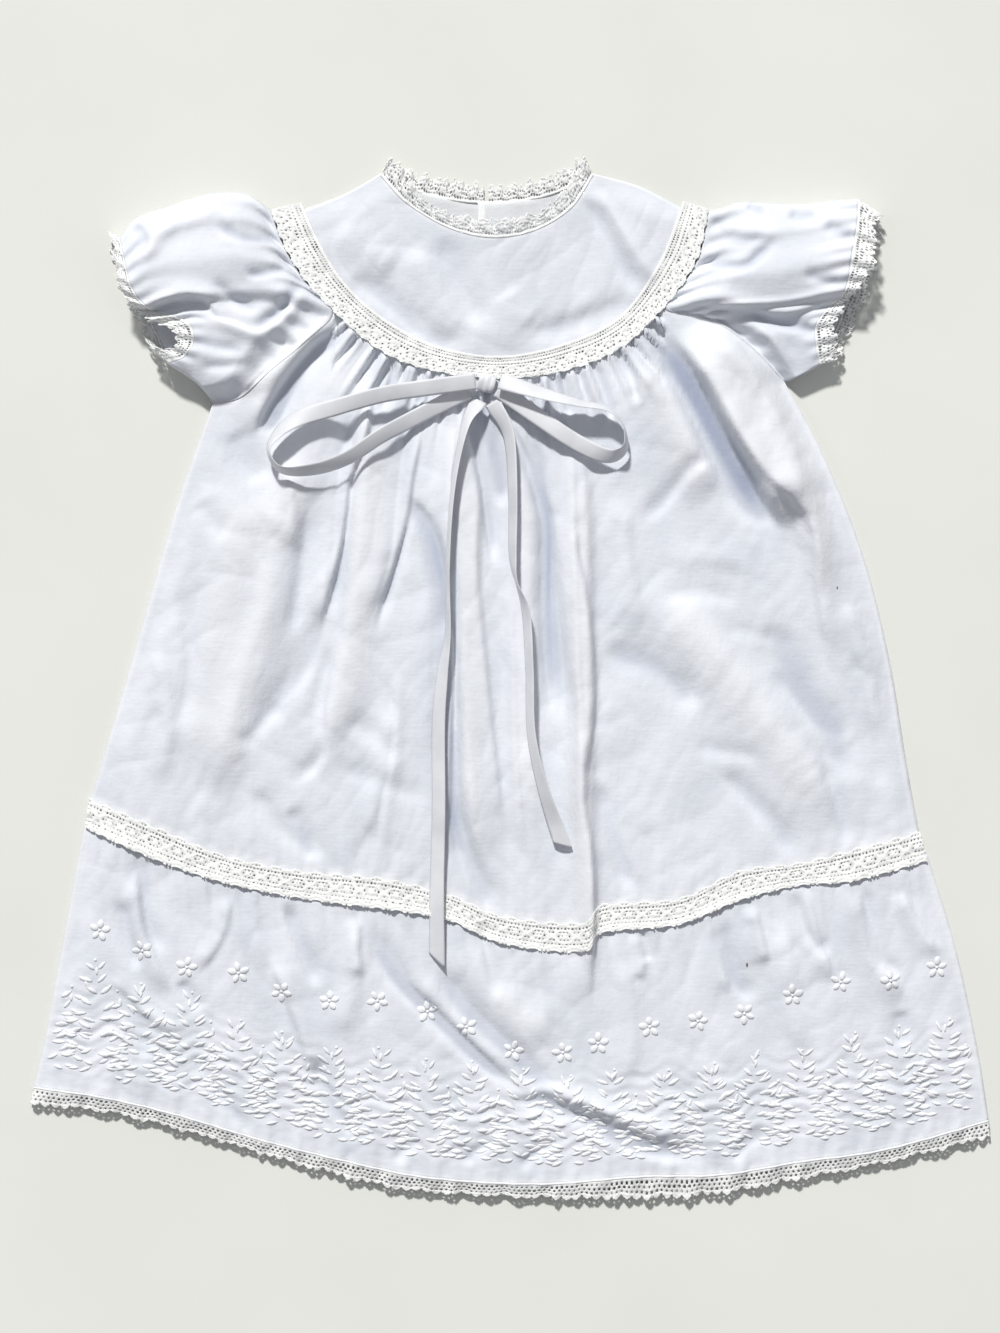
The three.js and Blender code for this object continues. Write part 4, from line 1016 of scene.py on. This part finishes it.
def repeat(s, pitch, shift=0.0):
    """Distance along from the middle of the nearest repeat."""
    return (s + shift + pitch / 2) % pitch - pitch / 2


def ring_at(s, t, a, b, half):
    return half - np.abs(np.hypot(s / a, t / b) - 1) * min(a, b)


def rosette(s, t, radius, petals, turn=0.0):
    angle = np.arctan2(t, s) + turn
    return radius * (0.66 + 0.34 * np.cos(petals * angle)) - np.hypot(s, t)


def most(*threads):
    return np.max(np.stack(np.broadcast_arrays(*threads)), axis=0)


def specks(s, t, pitch, radius):
    """Distance outside the nearest of many small round holes in shifted rows."""
    row = np.round(t / pitch)
    return np.hypot(repeat(s, pitch, (row % 2) * pitch / 2), t - row * pitch) - radius


def finished(ground, motif, edge):
    """A lace from its net, its close work and its edge: how far inside the thread, and the close work."""
    motif = most(motif, 0.5 - edge)
    return np.minimum(most(ground, motif), edge), motif


def insertion_lace(s, t, width):
    """Both edges scalloped, two wavy cords, and ovals with a flower in each."""
    wave = 0.6 * np.cos(2 * np.pi * s / 11)
    middle = t - width / 2
    u = repeat(s, 13.5)
    v = repeat(s, 13.5, 6.75)
    motif = most(
        cord_at(t, 2.3 + wave, 0.5), cord_at(t, width - 2.3 - wave, 0.55),
        ring_at(u, middle, 5.0, 3.3, 0.5), rosette(u, middle, 2.4, 6),
        rosette(v, middle, 2.0, 4, 0.78), cord_at(np.abs(v) - 0.55 * np.abs(middle), 0.9, 0.3))
    return finished(specks(s, t, 1.95, 0.38), motif, np.minimum(t - (0.8 - wave), (width - 0.2 - wave) - t))


def yoke_lace(s, t, width):
    """An inner beading between two cords, then a wider flowered band with a scalloped outer edge."""
    split = width * 0.36
    wave = 0.6 * np.cos(2 * np.pi * s / 9)
    u = repeat(s, 11.5)
    v = repeat(s, 11.5, 5.75)
    middle = t - (split + (width - split) * 0.48)
    motif = most(cord_at(t, 0.7, 0.5), cord_at(t, split - 0.6 + 0.15 * np.sin(s / 3.1), 0.55),
                 cord_at(t, split + 1.2, 0.35), cord_at(t, width - 1.9 - wave, 0.5),
                 ring_at(u, middle, 4.2, 2.7, 0.5), rosette(u, middle, 2.1, 5),
                 rosette(v, middle, 1.8, 4, 0.78))
    size = 0.36 + 0.16 * np.sin(s / 6.3) * np.sin(s / 2.9 + 1)
    beading = specks(s + 0.4 * np.sin(s / 2.7), t - 0.45, 1.55, size)
    ground = np.where(t < split, beading, specks(s, t, 1.95, 0.4))
    return finished(ground, motif, (width - 0.3 - wave) - t)


def hem_lace(s, t, width):
    """Rows of small openings and a scalloped picot edge."""
    scallop = 1.8 * np.abs(np.sin(np.pi * s / 5.4)) + 0.2 * np.abs(np.sin(np.pi * s / 1.8))
    size = 0.62 + 0.14 * np.sin(s / 5.9 + t)
    first = np.hypot(repeat(s, 2.7), t - 2.4) - size
    second = np.hypot(repeat(s, 2.7, 1.35), t - 4.5) - size
    third = np.hypot(repeat(s, 2.7), t - 6.6) - 0.9 * size
    motif = most(cord_at(t, 0.6, 0.6), cord_at(t, 8.0 + 0.2 * np.sin(s / 3.3), 0.4))
    return finished(np.minimum(np.minimum(first, second), third), motif, (width - 2.2 + scallop) - t)


def net_lace(s, t, width):
    """A light net with bunched sprigs and a deep scallop, which is gathered."""
    scallop = 2.0 * np.abs(np.sin(np.pi * s / 6)) + 0.45 * np.abs(np.sin(np.pi * s / 1.5))
    middle = t - width * 0.55
    u, v = repeat(s, 12, 6), repeat(s, 12)
    motif = most(rosette(u, middle, 2.2, 5), ring_at(u, middle, 3.9, 2.9, 0.4),
                 rosette(v, t - width * 0.4, 1.5, 4), cord_at(t, 0.6, 0.6))
    size = 0.58 + 0.16 * np.sin(2 * np.pi * s / 12 + t)
    return finished(specks(s, t, 2.0, size), motif, (width - 2.4 + scallop) - t)


# %% Lace strips
LACE_WALL, THREAD_RELIEF = 0.3, 0.35
CUTS = {}  # name of a lace: its length, its width, and the area of its threads


def lace_strip(name, node, pattern, length, width, cell, place, closed=False, material=lace_cotton):
    """A strip of lace. `place` turns shares along and across into x, y and z in millimetres."""
    solid = lambda s, t: pattern(s, t, width)[0]
    middles = lambda a: (a[:-1, :-1] + a[1:, :-1] + a[:-1, 1:] + a[1:, 1:]) / 4
    columns, rows = round(length / cell), round(width / cell)
    s, t = np.meshgrid(np.linspace(0, length, columns + 1), np.linspace(0, width, rows + 1))
    step, limit = 0.05, 0.3 * cell
    for _ in range(2):
        inside = solid(s, t)
        slope_s = (solid(s + step, t) - solid(s - step, t)) / (2 * step)
        slope_t = (solid(s, t + step) - solid(s, t - step)) / (2 * step)
        steep = np.maximum(slope_s**2 + slope_t**2, 0.3)
        near = np.abs(inside) < 0.5 * cell
        s = np.where(near, s - np.clip(inside * slope_s / steep, -limit, limit), s)
        t = np.where(near, t - np.clip(inside * slope_t / steep, -limit, limit), t)
    s, t = np.clip(s, 0, length), np.clip(t, 0, width)
    if closed:
        s[:, 0], s[:, -1] = 0, length
        t[:, -1] = t[:, 0]
    holes = solid(middles(s), middles(t)) < 0
    CUTS[name] = (length * MM, width * MM, float((~holes).mean()) * length * width * MM * MM)
    inside, motif = pattern(s, t, width)
    places = place(s / length, t / width)
    raised = 0.4 * smoothstep(inside, 0, 0.6) + smoothstep(motif, 0, 0.5)
    places[..., 2] += THREAD_RELIEF * raised * smoothstep(t, -0.5, 1.5)
    strip = place_grid(name, places, LACE_WALL, smoothstep(motif, -0.2, 0.3), closed=closed, holes=holes)
    return finish_piece(strip, material, node)


def strip_places(upper, lower, along, across):
    """x and y at shares along and across the strip between two lines."""
    across = across[..., None]
    return np.moveaxis((1 - across) * picked(upper, along) + across * picked(lower, along), -1, 0)


def between(upper, lower, height):
    """A place function for a strip between two lines."""
    def place(along, across):
        x, y = strip_places(upper, lower, along, across)
        return np.dstack([x, y, over_grid(height, x, y, along, across)])
    return place


def on_front(lift, edge_lift=0.0):
    """Height of a lace that lies on the front, its lower edge standing off by a little."""
    def height(x, y, along, across):
        waves = 0.6 + 0.4 * np.sin(along * 31) * np.sin(along * 12.7 + 1)
        return front_middle(x, y) + lift + edge_lift * smoothstep(across, 0.6, 1) * waves
    return height


HEM_RUN = 530  # length of the hem for its waves
LOWEST_LACE = 1.5


def hem_ripple(x, y, along, across):
    """The hem lace falls from the hem towards the table in small uneven waves."""
    start = front_middle(x, y) + 0.3
    wave = 0.9 * waves(along * HEM_RUN, (11.0, 0.6, 1.3), (19.0, 0.7, 0.9), (6.3, 0.3, 0.8))
    low = 1.9 + 0.35 * start + wave
    return np.maximum(start + (low - start) * smoothstep(across, 0, 1), LOWEST_LACE)


def hem_place(along, across):
    """The hem lace's outer edge wanders a little."""
    places = between(*hem_lines, hem_ripple)(along, across)
    wander = waves(along * HEM_RUN, (23.0, 0.7, 1.2), (10.8, 0.4, 0.7), (5.6, 0.15, 0.5))
    places[..., 1] += across * wander
    return places


def on_back(x, y, along, across):
    return flat_height(x, y) + 0.35


LINE_STEPS = 400
COARSE = 1.1  # cell of the laces that lie hidden underneath
yoke_lines = seam("yokeInner", LINE_STEPS), yoke_outer(LINE_STEPS)
insertion_lines = seam("insertionTop", LINE_STEPS), seam("insertionBottom", LINE_STEPS)
hem_lines = seam("hem", LINE_STEPS), seam("hemLace", LINE_STEPS)
yoke_run, insertion_run, hem_run = (
    line_length(line) for line in (yoke_lines[1], insertion_lines[1], hem_lines[0]))
FLAT_LACES = [  # kind, pattern, length, width, cell of the front one, its place, the lines of both
    ("yoke", yoke_lace, yoke_run, 15.5, 0.55, between(*yoke_lines, on_front(0.75, 0.8)), yoke_lines),
    ("insertion", insertion_lace, insertion_run, 16, 0.56,
     between(*insertion_lines, on_front(0.75, 1.5)), insertion_lines),
    ("hem", hem_lace, hem_run, 10, 0.55, hem_place, hem_lines)]
laces = [lace_strip(f"{kind}_lace_front", f"lace_{kind}_front", pattern, length, width, cell, place)
         for kind, pattern, length, width, cell, place, _ in FLAT_LACES]
laces += [lace_strip(f"{kind}_lace_back", f"lace_{kind}_back", pattern, length, width, COARSE,
                     between(*lines, on_back))
          for kind, pattern, length, width, _, _, lines in FLAT_LACES]

# %% Neck lace, gathered to the edge
NECK_FULLNESS = 1.4  # length of lace for each length of edge
EDGING_WIDTH = 10
EDGING_CELL = 0.6


def gathered(upper, lower, height, bunches, seed, rise=1.0):
    """A place function for a gathered strip: it swings along the line and up and down in bunches."""
    draw = random.Random(seed)
    phase = [draw.uniform(0, 6.28) for _ in range(3)]

    def place(along, across):
        turn = 2 * np.pi * bunches * along
        swing = 0.012 * np.sin(1.0 * turn + phase[0]) + 0.005 * np.sin(2.3 * turn + phase[1])
        out = across * (1.2 + 0.14 * np.sin(turn + phase[2]) + 0.1 * np.sin(1.7 * turn)) - 0.16
        x, y = strip_places(upper, lower, np.clip(along + swing * across, 0, 1), out)
        ruffle = 1.3 + 0.9 * np.sin(turn + phase[1]) + 0.5 * np.sin(2.3 * turn + phase[0])
        ruffle = ruffle * smoothstep(across, 0.05, 0.8)
        return np.dstack([x, y, over_grid(height, x, y) + 0.15 + rise * ruffle])
    return place


def neck_strip(end, upper, lower, height, bunches, seed, rise=1.0):
    """A gathered neck lace between the neck edge and its own outer line."""
    return lace_strip(
        f"neck_lace_{end}", f"lace_neck_{end}", net_lace, line_length(upper) * NECK_FULLNESS, EDGING_WIDTH,
        EDGING_CELL, gathered(upper, lower, height, bunches, seed, rise), material=neck_cotton)


laces.append(neck_strip("front", seam("neckFront", LINE_STEPS), seam("neckLaceFront", LINE_STEPS),
                        front_middle, 12, 3))
neck_back, neck_back_outer = seam("neckBack", LINE_STEPS), seam("neckLaceBack", LINE_STEPS)
for half, cut in (("left", slice(0, 196)), ("right", slice(203, LINE_STEPS + 1))):
    laces.append(neck_strip(f"back_{half}", neck_back[cut], neck_back_outer[cut], flat_height, 6, 5, 0.5))

# %% Cuff laces, each a gathered ring
CUFF_FULLNESS, MOTIF_PITCH = 1.15, 12  # the lace's pattern meets itself after whole motifs
CUFF_BUNCHES, CUFF_STEPS = 11, 6


def cuff_place(rings):
    """A place function for a strip that follows rings from the cuff outwards."""
    run = np.r_[0, np.cumsum(np.linalg.norm(np.diff(rings[0], axis=0), axis=1))]
    shares = np.linspace(0, 1, len(run))

    def place(along, across):
        turn = 2 * np.pi * CUFF_BUNCHES * along
        row = np.clip(across * (0.9 + 0.1 * np.sin(turn)) * CUFF_STEPS, 0, CUFF_STEPS - 0.001)
        low = row.astype(int)
        at = np.interp(along, run / run[-1], shares)
        lines = np.stack([picked(line, at) for line in rings])
        lower, upper = (np.take_along_axis(lines, (low + k)[None, ..., None], 0)[0] for k in (0, 1))
        part = (row - low)[..., None]
        x, y, z = np.moveaxis(lower * (1 - part) + upper * part, -1, 0)
        return np.dstack([x, y, np.maximum(z + 0.5 * np.sin(turn + 1) * across, 0.5)])
    return place


for side in ("Left", "Right"):
    steps = np.linspace(0, 1, CUFF_STEPS + 1)
    edges = [seam(f"cuffLace{sheet}{side}", SLEEVE_COLUMNS) for sheet in SHEETS]
    front, back = (np.stack([cuff * (1 - k) + edge * k for k in steps])
                   for cuff, edge in zip(cuffs[side], edges))
    rings = sleeve_ring(side, front, back, np.ones(len(steps)))
    around = float(np.linalg.norm(np.diff(rings[0], axis=0), axis=1).sum())
    length = MOTIF_PITCH * round(around * CUFF_FULLNESS / MOTIF_PITCH)
    laces.append(lace_strip(
        f"cuff_lace_{side.lower()}", f"lace_cuff_{side.lower()}", net_lace, length, EDGING_WIDTH, 0.62,
        cuff_place(rings), closed=True, material=neck_cotton))

# %% [markdown]
# ## Embroidery
# White satin stitch on the flounce: a row of small five-petalled flowers, and below it a border of
# sprigs whose paired leaves reach over each other. One petal and one leaf are modelled; the rest are
# turned copies whose points are set on the folded cloth, joined in one mesh each.

# %% One stitched form


def stitched_dome(length, width, height, pointed):
    """Points and faces of a small dome, lying along X from the origin."""
    bpy.ops.object.select_all(action="DESELECT")
    bpy.ops.mesh.primitive_uv_sphere_add(segments=8, ring_count=5, radius=1)
    dome = bpy.context.object
    bpy.ops.object.mode_set(mode="EDIT")
    bpy.ops.mesh.select_all(action="SELECT")
    bpy.ops.mesh.bisect(plane_co=(0, 0, -0.2), plane_no=(0, 0, 1), clear_inner=True, use_fill=True)
    bpy.ops.mesh.select_all(action="DESELECT")
    bpy.ops.object.mode_set(mode="OBJECT")
    points = np.array([v.co for v in dome.data.vertices], float)
    faces = [tuple(p.vertices) for p in dome.data.polygons]
    bpy.data.objects.remove(dome)
    points[:, 1] *= 1 - pointed * points[:, 0] ** 2
    return points * (length / 2, width / 2, height) + (length / 2, 0, 0), faces


def turned(points, degrees, x, y):
    a = math.radians(degrees)
    c, s = math.cos(a), math.sin(a)
    u, v, z = points.T
    return np.stack([x + c * u - s * v, y + s * u + c * v, z], 1)


def stitch_mesh(name, forms, lift=0.15):
    """One mesh from many placed forms. Each keeps its own faces, and follows the cloth's height."""
    points = np.vstack([p for p, _ in forms])
    faces, first = [], 0
    for p, f in forms:
        faces += [tuple(i + first for i in face) for face in f]
        first += len(p)
    points[:, 2] += front_middle(points[:, 0], points[:, 1]) + lift
    mesh = bpy.data.meshes.new(name)
    mesh.from_pydata((points * MM).tolist(), [], faces)
    piece = bpy.data.objects.new(name, mesh)
    bpy.context.scene.collection.objects.link(piece)
    bpy.ops.object.select_all(action="DESELECT")
    piece.select_set(True)
    bpy.context.view_layer.objects.active = piece
    bpy.ops.object.shade_smooth()
    return finish_piece(piece, satin_thread, None)


# %% Flowers
FLOWERS = [  # x, y, turn in degrees
    (-221, -136, 10), (-198, -147, 40), (-174, -156, 5), (-146, -159, 25), (-123, -169, 60), (-97, -174, 15),
    (-71, -174, 50), (-44, -180, 20), (-23, -188, 35), (2, -201, 5), (29, -202, 30), (48, -197, 15),
    (76, -188, 25), (102, -185, 5), (127, -181, 48), (153, -171, 20), (179, -164, 8), (206, -163, 30),
    (231, -156, 15)]
PETALS, PETAL_START = 5, 0.8
petal, petal_faces = stitched_dome(5.3, 3.7, 0.85, 0.3)
eye, eye_faces = stitched_dome(1.8, 1.8, 0.9, 0.0)
draw = random.Random(11)
forms = []
for x, y, turn in FLOWERS:
    for k in range(PETALS):
        angle = turn + 360 / PETALS * k + draw.uniform(-5, 5)
        scale = draw.uniform(0.9, 1.08)
        points = petal * (scale, scale * draw.uniform(0.88, 1.1), 1) + (PETAL_START, 0, 0)
        forms.append((turned(points, angle, x, y), petal_faces))
    forms.append((turned(eye - (0.9, 0, 0), 0, x, y), eye_faces))
flowers = stitch_mesh("embroidered_flowers", forms)

# %% Sprig border
SPRIGS, SPRIG_PITCH, FIRST_SPRIG = 20, 25.5, -249
SPRIG_REACH = (-252, 253)  # no leaf grows beyond these places across
TALLER = ([-250, -150, 60, 250], [1.18, 1.05, 0.98, 1.1])  # places across, and how tall a sprig is there
leaf = stitched_dome(7.6, 2.6, 0.8, 0.6)
tip_leaf = stitched_dome(4.8, 2.0, 0.7, 0.6)
bud = stitched_dome(1.7, 1.7, 0.7, 0.0)
LEVELS = [  # height above the hem, half spread, lean in degrees, leaf scale
    (56, 0.8, 64, 0.8), (51, 1.2, 42, 1.0), (46, 3.8, 55, 0.8), (45, 1.0, 30, 1.0), (42, 6.0, 18, 0.95),
    (39, 2.5, 34, 1.1), (37, 9.0, 42, 0.8), (35, 5.5, -8, 1.0), (34, 0.6, 24, 1.0), (32, 10.5, 14, 0.95),
    (30, 4.0, 20, 1.1), (28, 8.0, -10, 1.0), (27, 1.0, 12, 1.0), (25, 11.0, 20, 0.85), (24, 5.0, 28, 1.0),
    (22, 8.5, 6, 1.0), (21, 1.5, -6, 1.0), (19, 4.5, 12, 1.1), (18, 10.5, -14, 0.85), (16, 7.0, 16, 1.0),
    (15, 1.0, 22, 0.8), (13, 4.0, -8, 0.85), (12, 9.0, 8, 0.7)]
flounce_sides = seam("flounceLeft", 30)[::-1], seam("flounceRight", 30)[::-1]


def inside_flounce(points, margin=2.5):
    """Whether a stitched form lies wholly on the flounce."""
    left, right = (np.interp(points[:, 1], line[:, 1], line[:, 0]) for line in flounce_sides)
    return bool(((points[:, 0] > left + margin) & (points[:, 0] < right - margin)).all())


def hem_y(x):
    return float(np.interp(x, hem_lines[0][:, 0], hem_lines[0][:, 1]))


def stitched(dome, degrees, x, y, scale=(1, 1, 1)):
    """Adds one form to the border, unless it would cross the flounce's sides."""
    form = turned(dome[0] * scale, degrees, x, y)
    if inside_flounce(form):
        forms.append((form, dome[1]))


forms = []
for k in range(SPRIGS):
    x0 = FIRST_SPRIG + k * SPRIG_PITCH + draw.uniform(-1.5, 1.5)
    base = hem_y(x0)
    grow = draw.uniform(0.92, 1.06)
    slope = (hem_y(x0 + 8) - base) / 8
    tall = grow * float(np.interp(x0, *TALLER))
    # the tip with its bud, and a smaller shoot between two sprigs
    stitched(tip_leaf, 88 + draw.uniform(-6, 6), x0, base + 54 * tall)
    stitched(bud, 0, x0 + draw.uniform(-2, 2), base + 61 * tall)
    stitched(bud, 0, x0 + 12 + draw.uniform(-2, 2), base + 47 * tall)
    stitched(tip_leaf, 80 + draw.uniform(-15, 15), x0 + 12.7, base + 40 * tall)
    for up, spread, lean, scale in LEVELS:
        for side in (1, -1):
            x = x0 + side * spread
            if not SPRIG_REACH[0] < x < SPRIG_REACH[1]:
                continue
            x += draw.uniform(-1.6, 1.6)
            y = base + up * tall + slope * side * spread + draw.uniform(-1.8, 1.8)
            angle = 0.85 * lean + draw.uniform(-18, 18)
            size = (scale * draw.uniform(0.85, 1.15), scale * draw.uniform(0.85, 1.1), 1)
            stitched(leaf, angle if side > 0 else 180 - angle, x, y, size)
sprigs = stitch_mesh("embroidered_sprigs", forms)

# %% [markdown]
# ## Rolled hem and stitched edges
# A rolled edge is a narrow round of cloth. A row of rings swept along the seam gives it, and it follows
# the folds because its places are read from the same height.

# %% Rolled edges


ROLL_SIDES = 6


def directions(centre):
    """Unit vectors along a line and level across it, at each of its places."""
    along = np.gradient(centre, axis=0)
    along /= np.linalg.norm(along, axis=1)[:, None]
    side = np.column_stack([-along[:, 1], along[:, 0], np.zeros(len(centre))])
    return along, side / np.linalg.norm(side, axis=1)[:, None]


def rolled_edge(name, line, radius, lift):
    """A thin round edge along a line."""
    centre = np.column_stack([line, front_middle(line[:, 0], line[:, 1]) + lift])
    along, side = directions(centre)
    up = np.cross(along, side)
    angles = np.linspace(0, 2 * np.pi, ROLL_SIDES + 1)[:, None, None]
    ring = centre[None] + radius * (np.cos(angles) * side + np.sin(angles) * up)
    bpy.ops.object.select_all(action="DESELECT")
    bpy.ops.mesh.primitive_grid_add(x_subdivisions=len(line) - 1, y_subdivisions=ROLL_SIDES, size=1)
    piece = bpy.context.object
    piece.name = name
    piece.data.vertices.foreach_set("co", (ring * MM).astype(np.float32).ravel())
    bpy.ops.object.mode_set(mode="EDIT")
    bpy.ops.mesh.select_all(action="SELECT")
    bpy.ops.mesh.remove_doubles(threshold=0.01 * MM)
    bpy.ops.mesh.select_mode(type="EDGE")
    bpy.ops.mesh.select_all(action="DESELECT")
    bpy.ops.mesh.select_non_manifold()
    bpy.ops.mesh.edge_face_add()
    bpy.ops.mesh.select_all(action="SELECT")
    bpy.ops.mesh.normals_make_consistent(inside=False)
    bpy.ops.mesh.select_all(action="DESELECT")
    bpy.ops.object.mode_set(mode="OBJECT")
    bpy.ops.object.shade_smooth()
    return finish_piece(piece, satin_thread, None)


hem_roll = rolled_edge("rolled_hem", seam("hem", 420), radius=0.65, lift=0.4)
neck_roll = rolled_edge("neck_edge", seam("neckFront", 160), radius=0.4, lift=0.0)

# %% [markdown]
# ## The ribbon bow
# A satin ribbon is a flat band that bends easily along its length and hardly at all across it, so it
# turns corners by twisting. Each run is a line of places with a height over the cloth and a roll.
# Straps and ribbons are modelled directly: a simulation of so thin a band adds nothing here.

# %% Ribbon runs
RIBBON_WIDTH = 9.0
RIBBON_WALL = 0.3
RIBBON_STEP = 1.6  # between the places along a run
RIBBON_LIFT = 0.45  # of the middle line over the cloth, where the ribbon lies flat
RIBBON_CURL = 0.35  # how much the middle stands over the two edges
EASE = 6  # steps to each side over which the height of the cloth under it is evened out
BOW = {  # node: the slant of its end, and rows of x, y, height over the cloth, roll in degrees
    "bow_loop_left": (0.0, [
        (-18, 160, 4.0, -4), (-40, 157, 5.5, -10), (-66, 153, 6.5, -14), (-92, 146, 7, -8),
        (-112, 140, 6, 16), (-125, 131, 4, 54), (-129, 121, 3, 78), (-124, 113, 2.5, 70),
        (-108, 112, 2.5, 50), (-88, 118, 2, 38), (-68, 131, 1, 28), (-46, 143, 0.6, 16),
        (-22, 155, 0.5, 8)]),
    "bow_loop_right": (0.0, [
        (-6, 156, 1, 6), (14, 142, 3, -6), (30, 131, 4, -4), (43, 123.5, 4, 12), (52, 120, 3.5, 30),
        (59, 121, 3, 52), (63, 127, 3, 74), (61, 137, 3, 84), (53, 145, 3.5, 72), (38, 148, 4.5, 62),
        (22, 152, 5, 46), (-5, 160, 4, 12)]),
    "bow_tail_left": (4.0, [
        (-16, 150, 0, 16), (-24, 135, 0, 60), (-30, 104, 0, 74), (-33, 62, 0, 76), (-33, 25, 0, 70),
        (-36, 2, 0, 48), (-38, -22, 0, 38), (-38, -70, 0, 36), (-39, -115, 0, 30), (-39, -152, 0, 18)]),
    "bow_tail_right": (3.0, [
        (-9, 149, 0, 14), (0, 130, 0, 48), (2, 98, 0, 58), (2, 66, 0, 64), (4, 52, 0, 84), (9, 36, 0, 62),
        (11, 5, 0, 62), (12, -30, 0, 60), (18, -58, 0, 48), (29, -90, 0, 16)]),
}


def cloth_under(x, y, reach):
    """The highest cloth under a ribbon, evened out along the run, because a ribbon bridges small dips."""
    offsets = (-reach, 0, reach)
    cloth = np.max([front_middle(x + dx, y + dy) for dx in offsets for dy in offsets], axis=0)
    padded = np.pad(cloth, EASE, mode="edge")
    highest = np.array([padded[i:i + 2 * EASE + 1].max() for i in range(len(cloth))])
    ease = np.hanning(2 * EASE + 3)[1:-1]
    return np.convolve(np.pad(highest, EASE, mode="edge"), ease / ease.sum(), mode="valid")


def ribbon_run(node, slant, rows):
    """One run of the ribbon, and its length."""
    length = sum(math.dist(a[:2], b[:2]) for a, b in zip(rows, rows[1:]))
    x, y, up, roll = smooth_line(rows, round(length / RIBBON_STEP)).T
    roll = np.radians(roll)
    reach = RIBBON_WIDTH / 2
    rise = np.maximum(up, 0) + np.abs(np.sin(roll)) * reach * 0.92
    centre = np.column_stack([x, y, cloth_under(x, y, reach) + RIBBON_LIFT + rise])
    along, side = directions(centre)
    up = np.cross(side, along)
    up *= np.where(up[:, 2:] < 0, -1, 1)
    wide = side * np.cos(roll)[:, None] + up * np.sin(roll)[:, None]
    thick = np.cross(along, wide)
    across = np.linspace(-1, 1, 8)[:, None, None]
    grid = centre[None] + across * wide * reach + RIBBON_CURL * (1 - across**2) * thick
    end = smoothstep(np.arange(len(x)), len(x) - 6, len(x) - 1)[None, :, None]
    grid = grid + across * end * slant * along[None]
    piece = place_grid(f"{node}_ribbon", grid, RIBBON_WALL)
    return finish_piece(piece, ribbon_satin, node), length


ribbons = [ribbon_run(node, slant, rows) for node, (slant, rows) in BOW.items()]
print("ribbon in the bow, mm:", round(sum(length for _, length in ribbons)))

# %% Knot
low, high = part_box("bow_knot")
knot_middle = (low + high) / 2 / MM
turn, across = np.meshgrid(np.linspace(0, 2 * np.pi, 49), np.linspace(-1, 1, 17))
pinch = 1 - 0.22 * across**2 + 0.05 * np.sin(3 * turn + 2 * across) + 0.04 * np.sin(9 * across + turn)
knot_grid = np.dstack([
    knot_middle[0] + 4.4 * across + 0.8 * np.cos(turn),
    knot_middle[1] + 4.7 * pinch * np.cos(turn) - 1.2 * across,
    knot_middle[2] + 3.3 * pinch * np.sin(turn)])
knot = place_grid("bow_knot_ribbon", knot_grid, RIBBON_WALL, closed=True)
finish_piece(knot, ribbon_satin, "bow_knot")

# %% [markdown]
# ## What each lace strip was cut from
# The table keeps the real length and width of every lace strip before it was gathered and laid, in
# metres, and the area of its threads. The loop below reads each strip's entry.


for strip in laces:
    length, width, threads = CUTS[strip.name]
